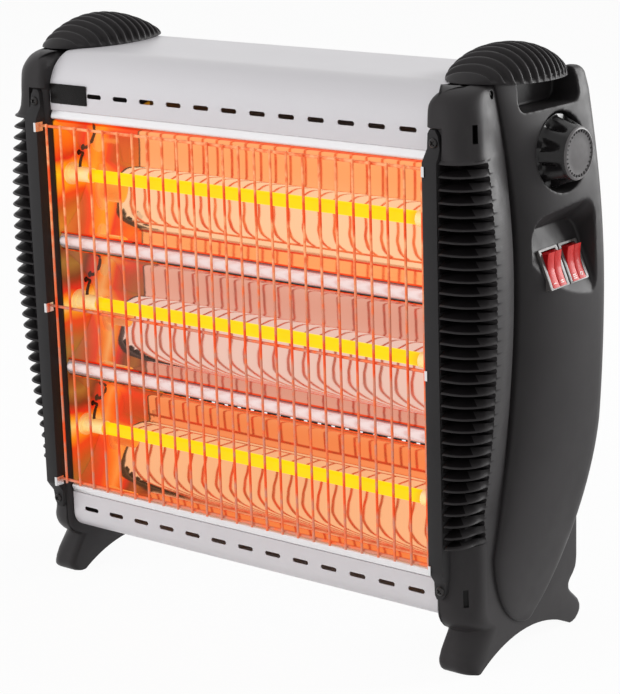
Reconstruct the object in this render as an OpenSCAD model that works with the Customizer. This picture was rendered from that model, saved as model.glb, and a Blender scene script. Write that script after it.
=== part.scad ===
// Halogen heater: three quartz tubes in mirror troughs behind a wire guard, a painted
// sheet-metal body, and two plastic side panels with louvred columns, feet and ribbed grips.
// X runs across the heater, Y from front to back, and Z up from the floor.
// Depths are measured from the front of the columns, and place() centres them on the origin.

/* [Body] */
// Clear width between the two side panels
body_w = 365; // [310:1:440]
// Height of the body's top above the floor
body_h = 430; // [410:1:520]
// Depth of the metal body from its front face to its back
body_d = 116; // [106:1:140]
// How far the metal front face lies behind the front of the columns
body_setback = 5; // [4:0.5:10]
// Height of the metal body's underside above the floor
under_h = 39; // [34:1:55]
// Thickness of the painted sheet metal
sheet_t = 0.8; // [0.6:0.1:1.2]
// Radius of the body's upper front edge
top_r = 30; // [15:1:34]
// Radius of the body's lower front edge
low_r = 14; // [6:1:18]
// Gap left between pieces that are fastened together
fit_gap = 0.3; // [0.2:0.05:0.4]

/* [Front] */
// Height of the painted strip over the guard
top_strip_h = 44.5; // [36:0.5:60]
// Height of the painted strip under the guard
low_strip_h = 31.5; // [24:0.5:44]
// Height of a bright trim strip
trim_h = 7.5; // [5:0.5:12]
// Length of a vent slot in the front strips
vent_l = 15; // [10:0.5:20]
// Height of a vent slot
vent_h = 3.6; // [2.5:0.1:5]
// Spacing of the vent slots
vent_pitch = 27.1; // [24:0.1:36]
// Width of the blank badge
badge_w = 38; // [25:1:50]
// Height of the blank badge
badge_h = 15.5; // [10:0.5:20]

/* [Guard] */
// Spacing of the upright wires
wire_pitch = 15; // [10:0.5:20]
// Diameter of an upright wire
wire_d = 2; // [1.5:0.1:3]
// Diameter of a cross wire
cross_d = 2.4; // [2:0.1:3.2]
// Width of a guard strip
strip_w = 12; // [9:0.5:16]
// Thickness of a guard strip
strip_t = 10; // [8:0.5:12]

/* [Heating] */
// Outer diameter of a quartz tube
tube_d = 10; // [8:0.5:13]
// Wall of a quartz tube
tube_wall = 1; // [0.8:0.1:1.5]
// Diameter of a filament coil
filament_d = 3; // [2:0.5:4]
// Depth of the tube axes behind the metal front face
tube_depth = 18; // [15:0.5:24]
// Depth of a mirror trough behind the metal front face
trough_d = 44; // [38:1:50]
// Half height of the trough's rounded back
trough_back_h = 14; // [10:1:17]
// Thickness of the mirror sheet
mirror_t = 0.6; // [0.5:0.1:1]
// Height of a divider nose
nose_h = 12.5; // [9:0.5:18]
// Wall of a ceramic end cap round its tube
cap_wall = 1; // [0.8:0.1:2]

/* [Side panels] */
// Depth of a side panel from the front of its column to its rear edge
panel_d = 150; // [142:1:190]
// Thickness of a side panel under its cover
panel_t = 29.5; // [27:0.5:36]
// Wall of the plastic mouldings
wall = 2.5; // [2:0.1:3.5]
// Depth of the column at its deepest, where the cover's front edge lies
column_d = 61.5; // [56:0.5:66]
// Radius of the column's outer front edge
column_r = 22; // [12:1:24]
// How far the louvred belly of a column stands out past the panel's outer face
belly_out = 19; // [10:0.5:21]
// How far the belly stands out in front of the column
belly_proud = 10; // [6:0.5:11]
// Height of a louvre slot
louvre_h = 4.3; // [3:0.1:5]
// Spacing of the louvre slots
louvre_pitch = 9.05; // [8:0.05:12]
// Flat band between the louvre ends and the cover
louvre_band = 20; // [14:1:26]
// How far the cover bulges out
cover_bulge = 22; // [16:1:28]
// Height of the arch between the feet
arch_h = 16; // [10:1:24]
// Length of the grip recess under the cap
grip_l = 73; // [66:1:80]
// Height of the grip recess
grip_h = 19; // [16:0.5:22]
// Depth of the grip recess from the panel's outer face inwards
grip_in = 13; // [8:1:16]
// Height of the ribbed cap over the body
cap_rise = 22.3; // [16:0.5:28]
// Width of one rib of the cap
rib_w = 4.6; // [3.5:0.1:6]
// Width of the groove beside it
groove_w = 3.6; // [2.5:0.1:5]

/* [Controls] */
// Diameter of the knob's skirt
knob_d = 54; // [46:1:56]
// Diameter of the knob's face
knob_face_d = 37; // [30:1:40]
// Height of the knob from its skirt to its face
knob_h = 22; // [18:0.5:25]
// Diameter of the thermostat shaft
shaft_d = 6; // [5:0.5:8]
// Width of one rocker
rocker_w = 8.8; // [7:0.1:9]
// Length of a rocker
rocker_l = 26.4; // [22:0.2:27]
// Angle that a rocker tips through
rocker_swing = 24; // [16:1:26]
// Backward lean of the switches
switch_tilt = 22; // [12:1:26]

/* [Hidden] */
$fn = 48;
eps = 0.01;

// Places across the heater
half_w = body_w / 2;
outer_x = half_w + panel_t;
shell_x = half_w - fit_gap;
trough_x = shell_x - sheet_t - fit_gap;

// Places in depth, from the front of the columns
toe_over = 5;
screw_head_t = 2;
guard_proud = strip_t + screw_head_t;
middle_y = (panel_d + toe_over - guard_proud) / 2;
face_y = body_setback;
back_y = face_y + body_d;
inside_y = back_y - 2 * (sheet_t + fit_gap);
tube_y = face_y + tube_depth;
cross_y = -cross_d / 2 - fit_gap;
wire_gap = 0.05;
wire_y = cross_y - (cross_d + wire_d) / 2 - wire_gap;

// Places in height
low_strip_z = under_h + low_strip_h;
open_z0 = low_strip_z + trim_h;
top_strip_z = body_h - top_strip_h;
open_z1 = top_strip_z - trim_h;
trough_h = (open_z1 - open_z0 - 2 * nose_h) / 3;
trough_pitch = trough_h + nose_h;
cap_d = tube_d + 2 * cap_wall;
function trough_z(i) = open_z0 + trough_h / 2 + i * trough_pitch;
function nose_z(i) = open_z0 + trough_h + nose_h / 2 + i * trough_pitch;
guard_margin = 4.5;
guard_z0 = open_z0 + guard_margin;
guard_z1 = open_z1 - guard_margin;
cross_z = [guard_z0, (guard_z0 + guard_z1) / 2, guard_z1];

// Vent slots and badge
vent_count = 2 * floor((half_w - vent_pitch / 2) / vent_pitch) + 1;
top_vent_z = body_h - 31.2;
low_vent_z = under_h + 19;
back_hem = 14;

// Upright wires of the guard
wire_count = 2 * floor((half_w - wire_d) / wire_pitch) + 1;
strip_x = half_w + 2.1;
strip_z0 = open_z0 + 3;
strip_z1 = open_z1 + 2;
strip_tab = 22;
tab_t = 4;
strip_screw_x = strip_x + strip_w / 2;
strip_screws_z = [strip_z0 - 15, strip_z1 + 13];
cross_end = strip_x + 4;

// Cover's outline in side view
tip_z = 23;
tip_y = 75;
tip_turn_z = 84;
front_bow_z = body_h - 146;
front_bow_low = 29;
front_bow_top = 23.5;
bulge_z = body_h - 165;
bulge_fall = 189;
rear_turn = 146;
cover_over = 6;
cover_edge = 1.5;
cover_peak = 0.82;

// Louvres
louvre_z0 = under_h + 66.5;
louvre_z1 = open_z1 - 1;
louvre_count = floor((louvre_z1 - louvre_z0) / louvre_pitch) + 1;
louvre_x = half_w + 15.5;

// Belly round the louvres and the shoulder over it
belly_x0 = strip_x + strip_w + fit_gap;
belly_z = body_h - 145;
belly_z0 = louvre_z0 - 7.5;
belly_z1 = louvre_z1 + 4.5;
belly_turn_y = 13;
belly_step = 0.4;
belly_fall_low = 22;
belly_fall_top = 8.7;
belly_back = 2;
belly_room_z = louvre_z0 + 35;
shoulder_out = 6.5;
shoulder_proud = 4.5;
shoulder_z1 = body_h - 12;

// Controls
control_y = panel_d - 46;
knob_face_x = outer_x + 29;
knob_x = knob_face_x - knob_h;
recess_r = knob_d / 2 + 2;
recess_x = knob_x - 3;
recess_drop = 3.8;
shaft_gap = 0.05;
bush_r = shaft_d / 2 + 2;
switch_x = outer_x + 13.5;
switch_z = body_h - 140;
module_w = 2 * rocker_w + 6.8;
module_l = rocker_l + 4;
module_gap = 1.8;
bezel_t = 2;
housing_deep = 16;
rocker_r = rocker_l / 2;
rocker_gap = 0.3;
pivot_x = -3.2;
pin_r = 1;
rocker_rise = 2.4;
scoop_w = 68;
scoop_l = 62;

// Grip recess and caps
grip_y0 = panel_d - 90;
grip_z1 = body_h - 5.5;
knob_z = grip_z1 - grip_h - recess_r - recess_drop;
rib_pitch = rib_w + groove_w;
cap_y0 = 22;
cap_crest_y = 79;
cap_y1 = panel_d - 8;
cap_mid_x = half_w + 14;
cap_in = 36;
cap_out = 31;
cap_z = body_h + fit_gap;
groove_d = 3;
peg_d = 6;
peg_x = half_w + 8.5;
peg_y = [cap_y0 + 7, cap_crest_y + 30];

// ---------- helpers ----------

module place() {
    translate([0, -middle_y, 0]) children();
}

module both_sides() {
    children();
    mirror([1, 0, 0]) children();
}

module block(low, high) {
    translate(low) cube(high - low);
}

// Extrude an outline drawn in (y, z) from x0 to x1
module along_x(x0, x1) {
    translate([x0, 0, 0]) rotate([90, 0, 90]) linear_extrude(height = x1 - x0) children();
}

// Extrude an outline drawn in (x, z) from y0 to y1
module along_y(y0, y1) {
    translate([0, y1, 0]) rotate([90, 0, 0]) linear_extrude(height = y1 - y0) children();
}

// Rod along X
module rod_x(x0, x1, y, z, r) {
    translate([x0, y, z]) rotate([0, 90, 0]) cylinder(r = r, h = x1 - x0);
}

// Rod along Y
module rod_y(y0, y1, x, z, r) {
    translate([x, y0, z]) rotate([-90, 0, 0]) cylinder(r = r, h = y1 - y0);
}

// Rectangle with its own radius at each corner: low left, low right, high right, high left
module rounded_rect(low, high, radii) {
    corners = [low, [high[0], low[1]], high, [low[0], high[1]]];
    inward = [[1, 1], [-1, 1], [-1, -1], [1, -1]];
    difference() {
        translate(low) square(high - low);
        for (i = [0:3])
            if (radii[i] > eps)
                difference() {
                    translate(corners[i] + inward[i] * (radii[i] - 1) / 2)
                        square(radii[i] + 1, center = true);
                    translate(corners[i] + inward[i] * radii[i]) circle(r = radii[i]);
                }
    }
}

// Slot with round ends, drawn lying along the first axis
module stadium(l, h) {
    square([l - h, h], center = true);
    for (s = [-1, 1]) translate([s * (l - h) / 2, 0]) circle(d = h);
}

function arc(c, r, a0, a1, n) =
    [for (i = [0:n]) let (a = a0 + (a1 - a0) * i / n) c + r * [cos(a), sin(a)]];

// Closed solid through rings of equal length
module skin(rings) {
    n = len(rings[0]);
    m = len(rings);
    sides = [for (i = [0:m - 2], j = [0:n - 1]) let (k = (j + 1) % n)
        each [[i * n + j, (i + 1) * n + k, i * n + k],
              [i * n + j, (i + 1) * n + j, (i + 1) * n + k]]];
    ends = [[for (j = [0:n - 1]) j], [for (j = [n - 1:-1:0]) (m - 1) * n + j]];
    polyhedron([for (r = rings) each r], concat(sides, ends));
}

function unit(v) = v / norm(v);

// Points of a smooth line through hand-chosen points
function spline(p, steps) = [
    for (i = [0:len(p) - 2], s = [0:steps - 1])
        let (t = s / steps, a = p[max(i - 1, 0)], b = p[i], c = p[i + 1],
             d = p[min(i + 2, len(p) - 1)])
        0.5 * (2 * b + (c - a) * t + (2 * a - 5 * b + 4 * c - d) * t * t
            + (3 * b - a - 3 * c + d) * t * t * t),
    p[len(p) - 1]];

// Insulated wire of radius r along a list of points
module wire(points, r, sides = 8) {
    last = len(points) - 1;
    skin([for (i = [0:last])
        let (d = unit(points[min(i + 1, last)] - points[max(i - 1, 0)]),
             u = unit(cross(d, abs(d[1]) < 0.8 ? [0, 1, 0] : [1, 0, 0])), v = cross(d, u))
        [for (j = [0:sides - 1]) let (a = 360 * j / sides)
            points[i] + r * (cos(a) * u + sin(a) * v)]]);
}

// Pan head screw at the origin, its shank running along -Z
module screw(head_r, shank_r, length) {
    cylinder(r = head_r, h = screw_head_t - 0.4);
    translate([0, 0, -length]) cylinder(r = shank_r, h = length + eps);
}

// ---------- metal body ----------

// Body section in side view, drawn inside the painted sheet by an inset
module body_section(inset) {
    rounded_rect([face_y + inset, under_h + inset], [back_y - inset, body_h - inset],
        [low_r - inset, 1.2 - inset, 1.2 - inset, top_r - inset]);
}

module vent_row(z) {
    for (i = [0:vent_count - 1])
        translate([(i - (vent_count - 1) / 2) * vent_pitch, 0, z])
            along_y(face_y - 1, face_y + sheet_t + 1) stadium(vent_l, vent_h);
}

// Screws that hold the back sheet to the hems of the two shells
module at_back_screws() {
    for (x = [-0.8, 0, 0.8] * half_w, z = [under_h + back_hem / 2 + 1, body_h - back_hem / 2 - 1])
        translate([x, back_y, z]) rotate([-90, 0, 0]) children();
}

module top_shell() {
    color("gainsboro") place() difference() {
        along_x(-shell_x, shell_x) difference() {
            body_section(0);
            body_section(sheet_t);
            translate([face_y - 1, 0]) square([body_d / 2, top_strip_z]);
            translate([face_y + body_d / 3, 0]) square([body_d, body_h - back_hem]);
        }
        vent_row(top_vent_z);
        at_back_screws() translate([0, 0, -3]) cylinder(r = 1.7, h = 4);
    }
}

module bottom_shell() {
    color("gainsboro") place() difference() {
        along_x(-shell_x, shell_x) difference() {
            body_section(0);
            body_section(sheet_t);
            translate([face_y - 1, low_strip_z]) square([body_d / 2, body_h]);
            translate([face_y + body_d / 3, under_h + back_hem]) square([body_d, body_h]);
        }
        vent_row(low_vent_z);
        at_back_screws() translate([0, 0, -3]) cylinder(r = 1.7, h = 4);
    }
}

back_vent_l = 34;
back_vent_h = 4;
back_vent_pitch = 14;
back_vents = 2 * floor((half_w - 26) / back_vent_pitch) + 1;
inlet_x = half_w - 44;
inlet_z = under_h + 34;
inlet_r = 7;

module back_panel() {
    edge = sheet_t + fit_gap;
    color("silver") place() difference() {
        block([-shell_x, inside_y + fit_gap, under_h + edge],
              [shell_x, inside_y + edge, body_h - edge]);
        for (i = [0:back_vents - 1], z = [open_z0 + 50, open_z1 - 30])
            translate([(i - (back_vents - 1) / 2) * back_vent_pitch, 0, z])
                along_y(inside_y, back_y) rotate(90) stadium(back_vent_l, back_vent_h);
        rod_y(inside_y, back_y, inlet_x, inlet_z, inlet_r + fit_gap);
        at_back_screws() translate([0, 0, -3]) cylinder(r = 1.7, h = 4);
    }
}

module back_screws() {
    color("dimgray") place() at_back_screws() translate([0, 0, 0.05]) screw(3.2, 1.5, 6);
}

module inlet_bush() {
    color("black") place() difference() {
        union() {
            rod_y(back_y - sheet_t - fit_gap + 0.1, back_y + 4, inlet_x, inlet_z, inlet_r + 3);
            rod_y(inside_y - 8, back_y, inlet_x, inlet_z, inlet_r);
        }
        rod_y(inside_y - 9, back_y + 5, inlet_x, inlet_z, 3.6);
    }
}

// Folded strip: an upright face and a flange that runs back to the mirror
module trim_outline() {
    flange = 9;
    square([sheet_t, trim_h - 2 * fit_gap]);
    square([flange, sheet_t]);
}

module top_trim() {
    color("whitesmoke") place() along_x(-shell_x + 1, shell_x - 1)
        translate([face_y, open_z1 + fit_gap]) trim_outline();
}

module bottom_trim() {
    color("whitesmoke") place() along_x(-shell_x + 1, shell_x - 1)
        translate([face_y, open_z0 - fit_gap]) mirror([0, 1]) trim_outline();
}

module badge_plate() {
    left = -shell_x + 1;
    bottom = top_vent_z - 7.8;
    color("black") place() along_y(face_y - 1, face_y)
        rounded_rect([left, bottom], [left + badge_w, bottom + badge_h], [1, 1, 1, 1]);
}

// Holes of one end plate and panel wall: tube caps, their lead wires, and the wiring
lead_y = 10;
lead_z = 15;
harness = [inside_y - 22, under_h + 45];

module end_holes(x0, x1, more = 0) {
    for (i = [0:2]) {
        rod_x(x0, x1, tube_y, trough_z(i), cap_d / 2 + fit_gap + more);
        rod_x(x0, x1, tube_y + lead_y, trough_z(i) + lead_z, 2.4 + more);
    }
    rod_x(x0, x1, harness[0], harness[1], 5 + more);
}

// Screws that hold a side panel to the metal end plate
module at_body_screws() {
    for (y = [face_y + 62, back_y - 14], z = [under_h + 32, body_h - 60])
        translate([half_w + wall, y, z]) rotate([0, 90, 0]) children();
}

module end_plate_right() {
    edge = sheet_t + fit_gap;
    color("burlywood") place() difference() {
        along_x(shell_x - sheet_t, shell_x)
            rounded_rect([face_y + edge, under_h + edge], [inside_y, body_h - edge],
                [low_r - edge, 2, 2, top_r - edge]);
        end_holes(shell_x - 2, shell_x + 1);
        at_body_screws() translate([0, 0, -8]) cylinder(r = 1.6, h = 9);
    }
}

module end_plate_left() {
    mirror([1, 0, 0]) end_plate_right();
}

module body_screws() {
    color("dimgray") place() both_sides()
        at_body_screws() translate([0, 0, 0.05]) screw(3.4, 1.5, 6);
}

// ---------- mirror troughs and tubes ----------

// Mirror line of a trough from its upper lip round its back to its lower lip, in (y, z)
trough_lip = 2;
trough_bow = 4;
trough_sag = 7;
function trough_wall(s, n) =
    let (a = [face_y + trough_lip, trough_h / 2 - 1.2],
         c = [face_y + trough_d - trough_sag, trough_back_h],
         b = (a + c) / 2 + trough_bow * unit([a[1] - c[1], c[0] - a[0]]))
    [for (i = [0:n]) let (t = i / n, p = (1 - t) * (1 - t) * a + 2 * t * (1 - t) * b + t * t * c)
        [p[0], s * p[1]]];
trough_back_r = (trough_back_h * trough_back_h + trough_sag * trough_sag) / (2 * trough_sag);
trough_back_a = asin(trough_back_h / trough_back_r);

// Band of thickness t on the outer side of a line
function lifted(line, t) = [for (i = [0:len(line) - 1])
    let (d = unit(line[min(i + 1, len(line) - 1)] - line[max(i - 1, 0)]))
    line[i] + t * [-d[1], d[0]]];

function reversed(v) = [for (i = [len(v) - 1:-1:0]) v[i]];

module trough(i) {
    upper = trough_wall(1, 7);
    lower = reversed(trough_wall(-1, 7));
    back = arc([face_y + trough_d - trough_back_r, 0], trough_back_r,
        trough_back_a, -trough_back_a, 8);
    line = concat(upper, [for (k = [1:7]) back[k]], lower);
    color("lightsalmon") place() along_x(-trough_x, trough_x) translate([0, trough_z(i)])
        polygon(concat(line, reversed(lifted(line, mirror_t))));
}

module reflector_lower() {
    trough(0);
}

module reflector_middle() {
    trough(1);
}

module reflector_upper() {
    trough(2);
}

// Rounded nose between two troughs
module divider(i) {
    leg = 10;
    color("mistyrose") place() along_x(-trough_x, trough_x) translate([face_y, nose_z(i)])
        difference() {
            union() {
                translate([nose_h / 2, 0]) circle(d = nose_h);
                translate([nose_h / 2, -nose_h / 2]) square([leg, nose_h]);
            }
            translate([nose_h / 2, 0]) circle(d = nose_h - 2 * mirror_t);
            translate([nose_h / 2, -nose_h / 2 + mirror_t]) square([leg + 1, nose_h - 2 * mirror_t]);
        }
}

module divider_lower() {
    divider(0);
}

module divider_upper() {
    divider(1);
}

// Ceramic cap: a socket for the tube, a collar on the end plate and a stem through it
socket_d = 8;
cap_in_l = 23;
cap_out_l = 8;
collar_t = 2;
cap_x0 = shell_x - sheet_t - cap_in_l;
tube_end = cap_x0 + socket_d - fit_gap;

module tube_caps_right() {
    color("linen") place() for (i = [0:2]) difference() {
        union() {
            rod_x(cap_x0, half_w + cap_out_l, tube_y, trough_z(i), cap_d / 2);
            rod_x(shell_x - sheet_t - fit_gap - collar_t, shell_x - sheet_t - fit_gap,
                tube_y, trough_z(i), cap_d / 2 + 3);
        }
        rod_x(cap_x0 - 1, cap_x0 + socket_d, tube_y, trough_z(i), tube_d / 2 + 0.15);
        rod_x(cap_x0, half_w + cap_out_l - 3, tube_y, trough_z(i), filament_d / 2 + fit_gap);
        translate([cap_x0 + 13, tube_y, trough_z(i)]) cylinder(r = 1.5, h = cap_d);
    }
}

module tube_caps_left() {
    mirror([1, 0, 0]) tube_caps_right();
}

module quartz_tube(i) {
    color("gold", 0.6) place() difference() {
        rod_x(-tube_end, tube_end, tube_y, trough_z(i), tube_d / 2);
        rod_x(-tube_end - 1, tube_end + 1, tube_y, trough_z(i), tube_d / 2 - tube_wall);
    }
}

module quartz_tube_lower() {
    quartz_tube(0);
}

module quartz_tube_middle() {
    quartz_tube(1);
}

module quartz_tube_upper() {
    quartz_tube(2);
}

module filament(i) {
    end = half_w + cap_out_l - 4;
    color("yellow") place() rod_x(-end, end, tube_y, trough_z(i), filament_d / 2);
}

module filament_lower() {
    filament(0);
}

module filament_middle() {
    filament(1);
}

module filament_upper() {
    filament(2);
}

// Lead wire of one tube: up out of the cap, round, and out through the end plate
module lead_wires_right() {
    x = cap_x0 + 13;
    color("saddlebrown") place() for (i = [0:2])
        wire(spline([[x, tube_y, trough_z(i) + 3.2], [x, tube_y, trough_z(i) + cap_d / 2 + 2],
            [x + 1, tube_y + 3, trough_z(i) + 13],
            [x + 5, tube_y + lead_y - 1, trough_z(i) + lead_z],
            [x + 10, tube_y + lead_y, trough_z(i) + lead_z],
            [half_w + 7, tube_y + lead_y, trough_z(i) + lead_z]], 4), 1.2);
}

module lead_wires_left() {
    mirror([1, 0, 0]) lead_wires_right();
}

// ---------- wire guard ----------

module guard_uprights() {
    color("sandybrown") place() for (i = [0:wire_count - 1])
        translate([(i - (wire_count - 1) / 2) * wire_pitch, wire_y, guard_z0 - 2])
            cylinder(d = wire_d, h = guard_z1 - guard_z0 + 4);
}

module guard_rails() {
    color("sandybrown") place()
        for (z = cross_z) rod_x(-cross_end, cross_end, cross_y, z, cross_d / 2);
}

// Folded clip over the inner edge of a guard strip, notched for the cross wire
clip_h = 7.4;
clip_t = 0.6;

module guard_clips() {
    color("white") place() both_sides() for (z = cross_z) difference() {
        union() {
            block([strip_x - clip_t - 0.1, -strip_t - clip_t - 0.1, z - clip_h / 2],
                  [strip_x - 0.1, -0.2, z + clip_h / 2]);
            block([strip_x - clip_t - 0.1, -strip_t - clip_t - 0.1, z - clip_h / 2],
                  [strip_x + 3, -strip_t - 0.1, z + clip_h / 2]);
        }
        block([strip_x - 2, cross_y - cross_d / 2 - 0.1, z - cross_d / 2 - 0.1],
              [strip_x + 0.5, 0, z + cross_d / 2 + 0.1]);
    }
}

// Bar in front of a column, with a tapered screw tab at each end
module guard_strip_right() {
    tab = [[0, -1], [strip_w, -1], [strip_w, 3], [strip_w - 2.5, strip_tab - 4],
        [strip_w - 5, strip_tab], [2.5, strip_tab], [1, strip_tab - 3]];
    tab_side = [[0, -1], [-strip_t, -1], [-strip_t, 0], [-tab_t, 9], [-tab_t, strip_tab],
        [0, strip_tab]];
    color("dimgray") place() difference() {
        union() {
            block([strip_x, -strip_t, strip_z0], [strip_x + strip_w, 0, strip_z1]);
            for (s = [0, 1]) intersection() {
                along_y(-strip_t, 0) polygon([for (p = tab)
                    [strip_x + p[0], s == 0 ? strip_z0 - p[1] : strip_z1 + p[1]]]);
                along_x(strip_x - 1, strip_x + strip_w + 1) polygon([for (p = tab_side)
                    [p[0], s == 0 ? strip_z0 - p[1] : strip_z1 + p[1]]]);
            }
        }
        for (z = cross_z)
            block([strip_x - 1, cross_y - cross_d / 2 - 0.3, z - cross_d / 2 - 0.3],
                  [cross_end + 0.5, 1, z + cross_d / 2 + 0.3]);
        for (z = strip_screws_z) rod_y(-tab_t - 1, 1, strip_screw_x, z, 1.7);
    }
}

module guard_strip_left() {
    mirror([1, 0, 0]) guard_strip_right();
}

module guard_screws() {
    color("gray") place() both_sides() for (z = strip_screws_z)
        translate([strip_screw_x, -tab_t - 0.05, z]) rotate([90, 0, 0]) screw(3.3, 1.5, 9);
}

// ---------- side panels ----------

function cover_front(z) =
    z >= tip_turn_z
    ? column_d - (z > front_bow_z
        ? front_bow_top * pow((z - front_bow_z) / (body_h - front_bow_z), 2)
        : front_bow_low * pow((front_bow_z - z) / (front_bow_z - tip_turn_z), 2))
    : tip_y - (tip_y - column_d + front_bow_low)
        * sqrt(1 - pow((tip_turn_z - z) / (tip_turn_z - tip_z), 2));

function cover_rear(z) =
    z >= tip_z + rear_turn
    ? panel_d + cover_over - 4 * pow(max(z - bulge_z, 0) / (body_h - bulge_z), 2)
    : tip_y + (panel_d + cover_over - tip_y)
        * pow(1 - pow((tip_z + rear_turn - z) / rear_turn, 1.7), 0.75);

function cover_height(z) =
    cover_bulge * (1 - pow((z - bulge_z) / (z > bulge_z ? bulge_fall : bulge_z - tip_z), 2));

// Cross-section of the cover at height z, drawn inside its outer skin by an inset
function cover_ring(z, inset) =
    let (f = cover_front(z) + inset, r = cover_rear(z) - inset,
         p = f + cover_peak * (r - f), h = cover_height(z),
         base = outer_x - (inset > 0 ? 1 : 0))
    concat(
        [[base, f, z]],
        [for (a = [0:10:90])
            [outer_x + max(cover_edge + h * sin(a) - inset, 0.1), p - (p - f) * cos(a), z]],
        [for (a = [75:-15:0])
            [outer_x + max(cover_edge + h * pow(sin(a), 2 / 3) - inset, 0.1),
             p + (r - p) * pow(cos(a), 2 / 3), z]],
        [[base, r, z]]);

cover_levels = concat(
    [for (i = [0:5]) tip_z + 0.6 + (tip_turn_z - tip_z - 0.6) * (1 - cos(15 * i))],
    [for (i = [0:15]) tip_turn_z + (body_h - tip_turn_z) * i / 15]);
inner_z0 = tip_turn_z - 18;
inner_levels = concat([inner_z0],
    [for (i = [0:14]) tip_turn_z + (body_h - wall - tip_turn_z) * i / 14]);

// Side view of a side frame, from its top front corner round its feet
foot_z = 50;
module frame_outline() {
    c = panel_d - 29;
    r = (c * c / 4 + arch_h * arch_h) / (2 * arch_h);
    a = acos(c / 2 / r);
    polygon(concat(
        arc([17, body_h - 17], 17, 180, 90, 6),
        arc([panel_d - 20, body_h - 20], 20, 90, 0, 6),
        arc([panel_d - 12, foot_z], 12, 0, -50, 4),
        arc([panel_d + 1, 30], 10, 130, 230, 6),
        arc([panel_d - 4, 9], 9, 100, -90, 8),
        arc([15 + c / 2, arch_h - r], r, a, 180 - a, 12),
        arc([11, 6], 6, 270, 120, 6),
        arc([3.5, 23], 10, -60, 70, 6),
        arc([14, foot_z + 2], 14, 235, 180, 4)));
}

module frame_solid() {
    intersection() {
        along_x(half_w, outer_x) frame_outline();
        linear_extrude(height = body_h + 1)
            rounded_rect([half_w, 0], [outer_x, panel_d + toe_over + 1], [2, column_r, 6, 0]);
        along_y(-1, panel_d + toe_over + 1)
            rounded_rect([half_w, -1], [outer_x, body_h], [0, 0, 5, 14]);
    }
}

cavity_z = foot_z + 8;
module frame_cavity() {
    w = wall;
    intersection() {
        along_x(half_w + w, outer_x - w)
            rounded_rect([w, cavity_z], [panel_d - w, body_h - w], [0, 0, 20 - w, 17 - w]);
        linear_extrude(height = body_h)
            rounded_rect([half_w + w, w], [outer_x - w, panel_d - w], [0, column_r - w, 4, 0]);
        along_y(0, panel_d)
            rounded_rect([half_w + w, 0], [outer_x - w, body_h - w], [0, 0, 5 - w, 14 - w]);
    }
}

// Openings in the frame's outer wall, all of them behind the cover
module cover_openings() {
    x = [outer_x - wall - 1, outer_x + 1];
    rear = panel_d - wall - 0.5;
    low = tip_z + 57;
    mid = tip_z + 127;
    high = grip_z1 - grip_h - 8;
    block([x[0], column_d + 5, mid], [x[1], rear, high]);
    block([x[0], column_d + 5, low], [x[1], cover_rear(low) - 5, mid + eps]);
    block([x[0], grip_y0 - 5, high - eps], [x[1], rear, body_h - wall]);
}

// How far the belly reaches across and forwards at height z
function belly_x(z) =
    outer_x + belly_out - (z < belly_z
        ? belly_fall_low * pow((belly_z - z) / (belly_z - louvre_z0), 2)
        : belly_fall_top * pow((z - belly_z) / (louvre_z1 - belly_z), 2));

function belly_y(z) =
    belly_back * pow((z - belly_z) / (z < belly_z ? belly_z - louvre_z0 : louvre_z1 - belly_z), 2)
        - belly_proud;

// Half width of the belly's side at depth y, where it falls away to the cover's front edge
function belly_side(x, y, end) =
    outer_x + belly_step
        + (x - outer_x - belly_step) * (1 - pow((y - belly_turn_y) / (end - belly_turn_y), 2));

// Cross-section of the belly that reaches across to x and forwards to y
function belly_ring(z, x, y) =
    let (end = cover_front(z) - belly_step,
         turn = belly_x0 + 0.4 * max(x - outer_x, 0))
    concat(
        [[belly_x0, column_r / 3, z], [belly_x0, y, z]],
        [for (a = [0:15:90])
            [turn + (x - turn) * sin(a), belly_turn_y - (belly_turn_y - y) * cos(a), z]],
        [for (i = [1:5]) let (depth = belly_turn_y + (end - belly_turn_y) * i / 5)
            [belly_side(x, depth, end), depth, z]],
        [[outer_x - wall / 2, end, z], [outer_x - wall / 2, column_r, z]]);

// The column's own corner as a ring with as many points, just under its surface
function corner_ring(z) =
    let (r = column_r - belly_step, end = cover_front(z) - belly_step,
         a0 = asin((belly_x0 - outer_x + column_r) / column_r))
    concat(
        [[belly_x0, column_r / 3, z]],
        [for (a = concat([a0], [for (i = [0:6]) a0 + (90 - a0) * i / 6]))
            [outer_x - column_r + r * sin(a), column_r - r * cos(a), z]],
        [for (i = [1:5]) [outer_x - belly_step, column_r + (end - column_r) * i / 5, z]],
        [[outer_x - wall / 2, end, z], [outer_x - wall / 2, column_r + eps, z]]);

module belly() {
    skin([for (i = [0:14]) let (z = belly_z0 + (belly_z1 - belly_z0) * i / 14)
        belly_ring(z, belly_x(z), belly_y(z))]);
    skin([for (i = [0:5]) let (z = belly_z1 - wall + (shoulder_z1 - belly_z1 + wall) * i / 5,
                               share = 1 - pow(i / 5, 2))
        share * belly_ring(z, outer_x + shoulder_out, -shoulder_proud)
            + (1 - share) * corner_ring(z)]);
}

function louvre_end(z) =
    cover_front(z) - louvre_band - louvre_h / 2 - 1.5 * (belly_x(z) - outer_x);

// Room inside the belly, behind the ends of the louvres
module belly_cavity() {
    inner = outer_x - wall - 1;
    skin([for (i = [0:10])
        let (z = belly_room_z + (belly_z1 - wall - belly_room_z) * i / 10,
             end = cover_front(z) - belly_step,
             y0 = max(louvre_end(z) + louvre_h / 2, belly_turn_y) + wall, y1 = end - 3 * wall)
        concat([[inner, y0, z]],
            [for (k = [0:4]) let (y = y0 + (y1 - y0) * k / 4)
                [belly_side(belly_x(z), y, end) - wall, y, z]],
            [[inner, y1, z]])]);
}

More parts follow.
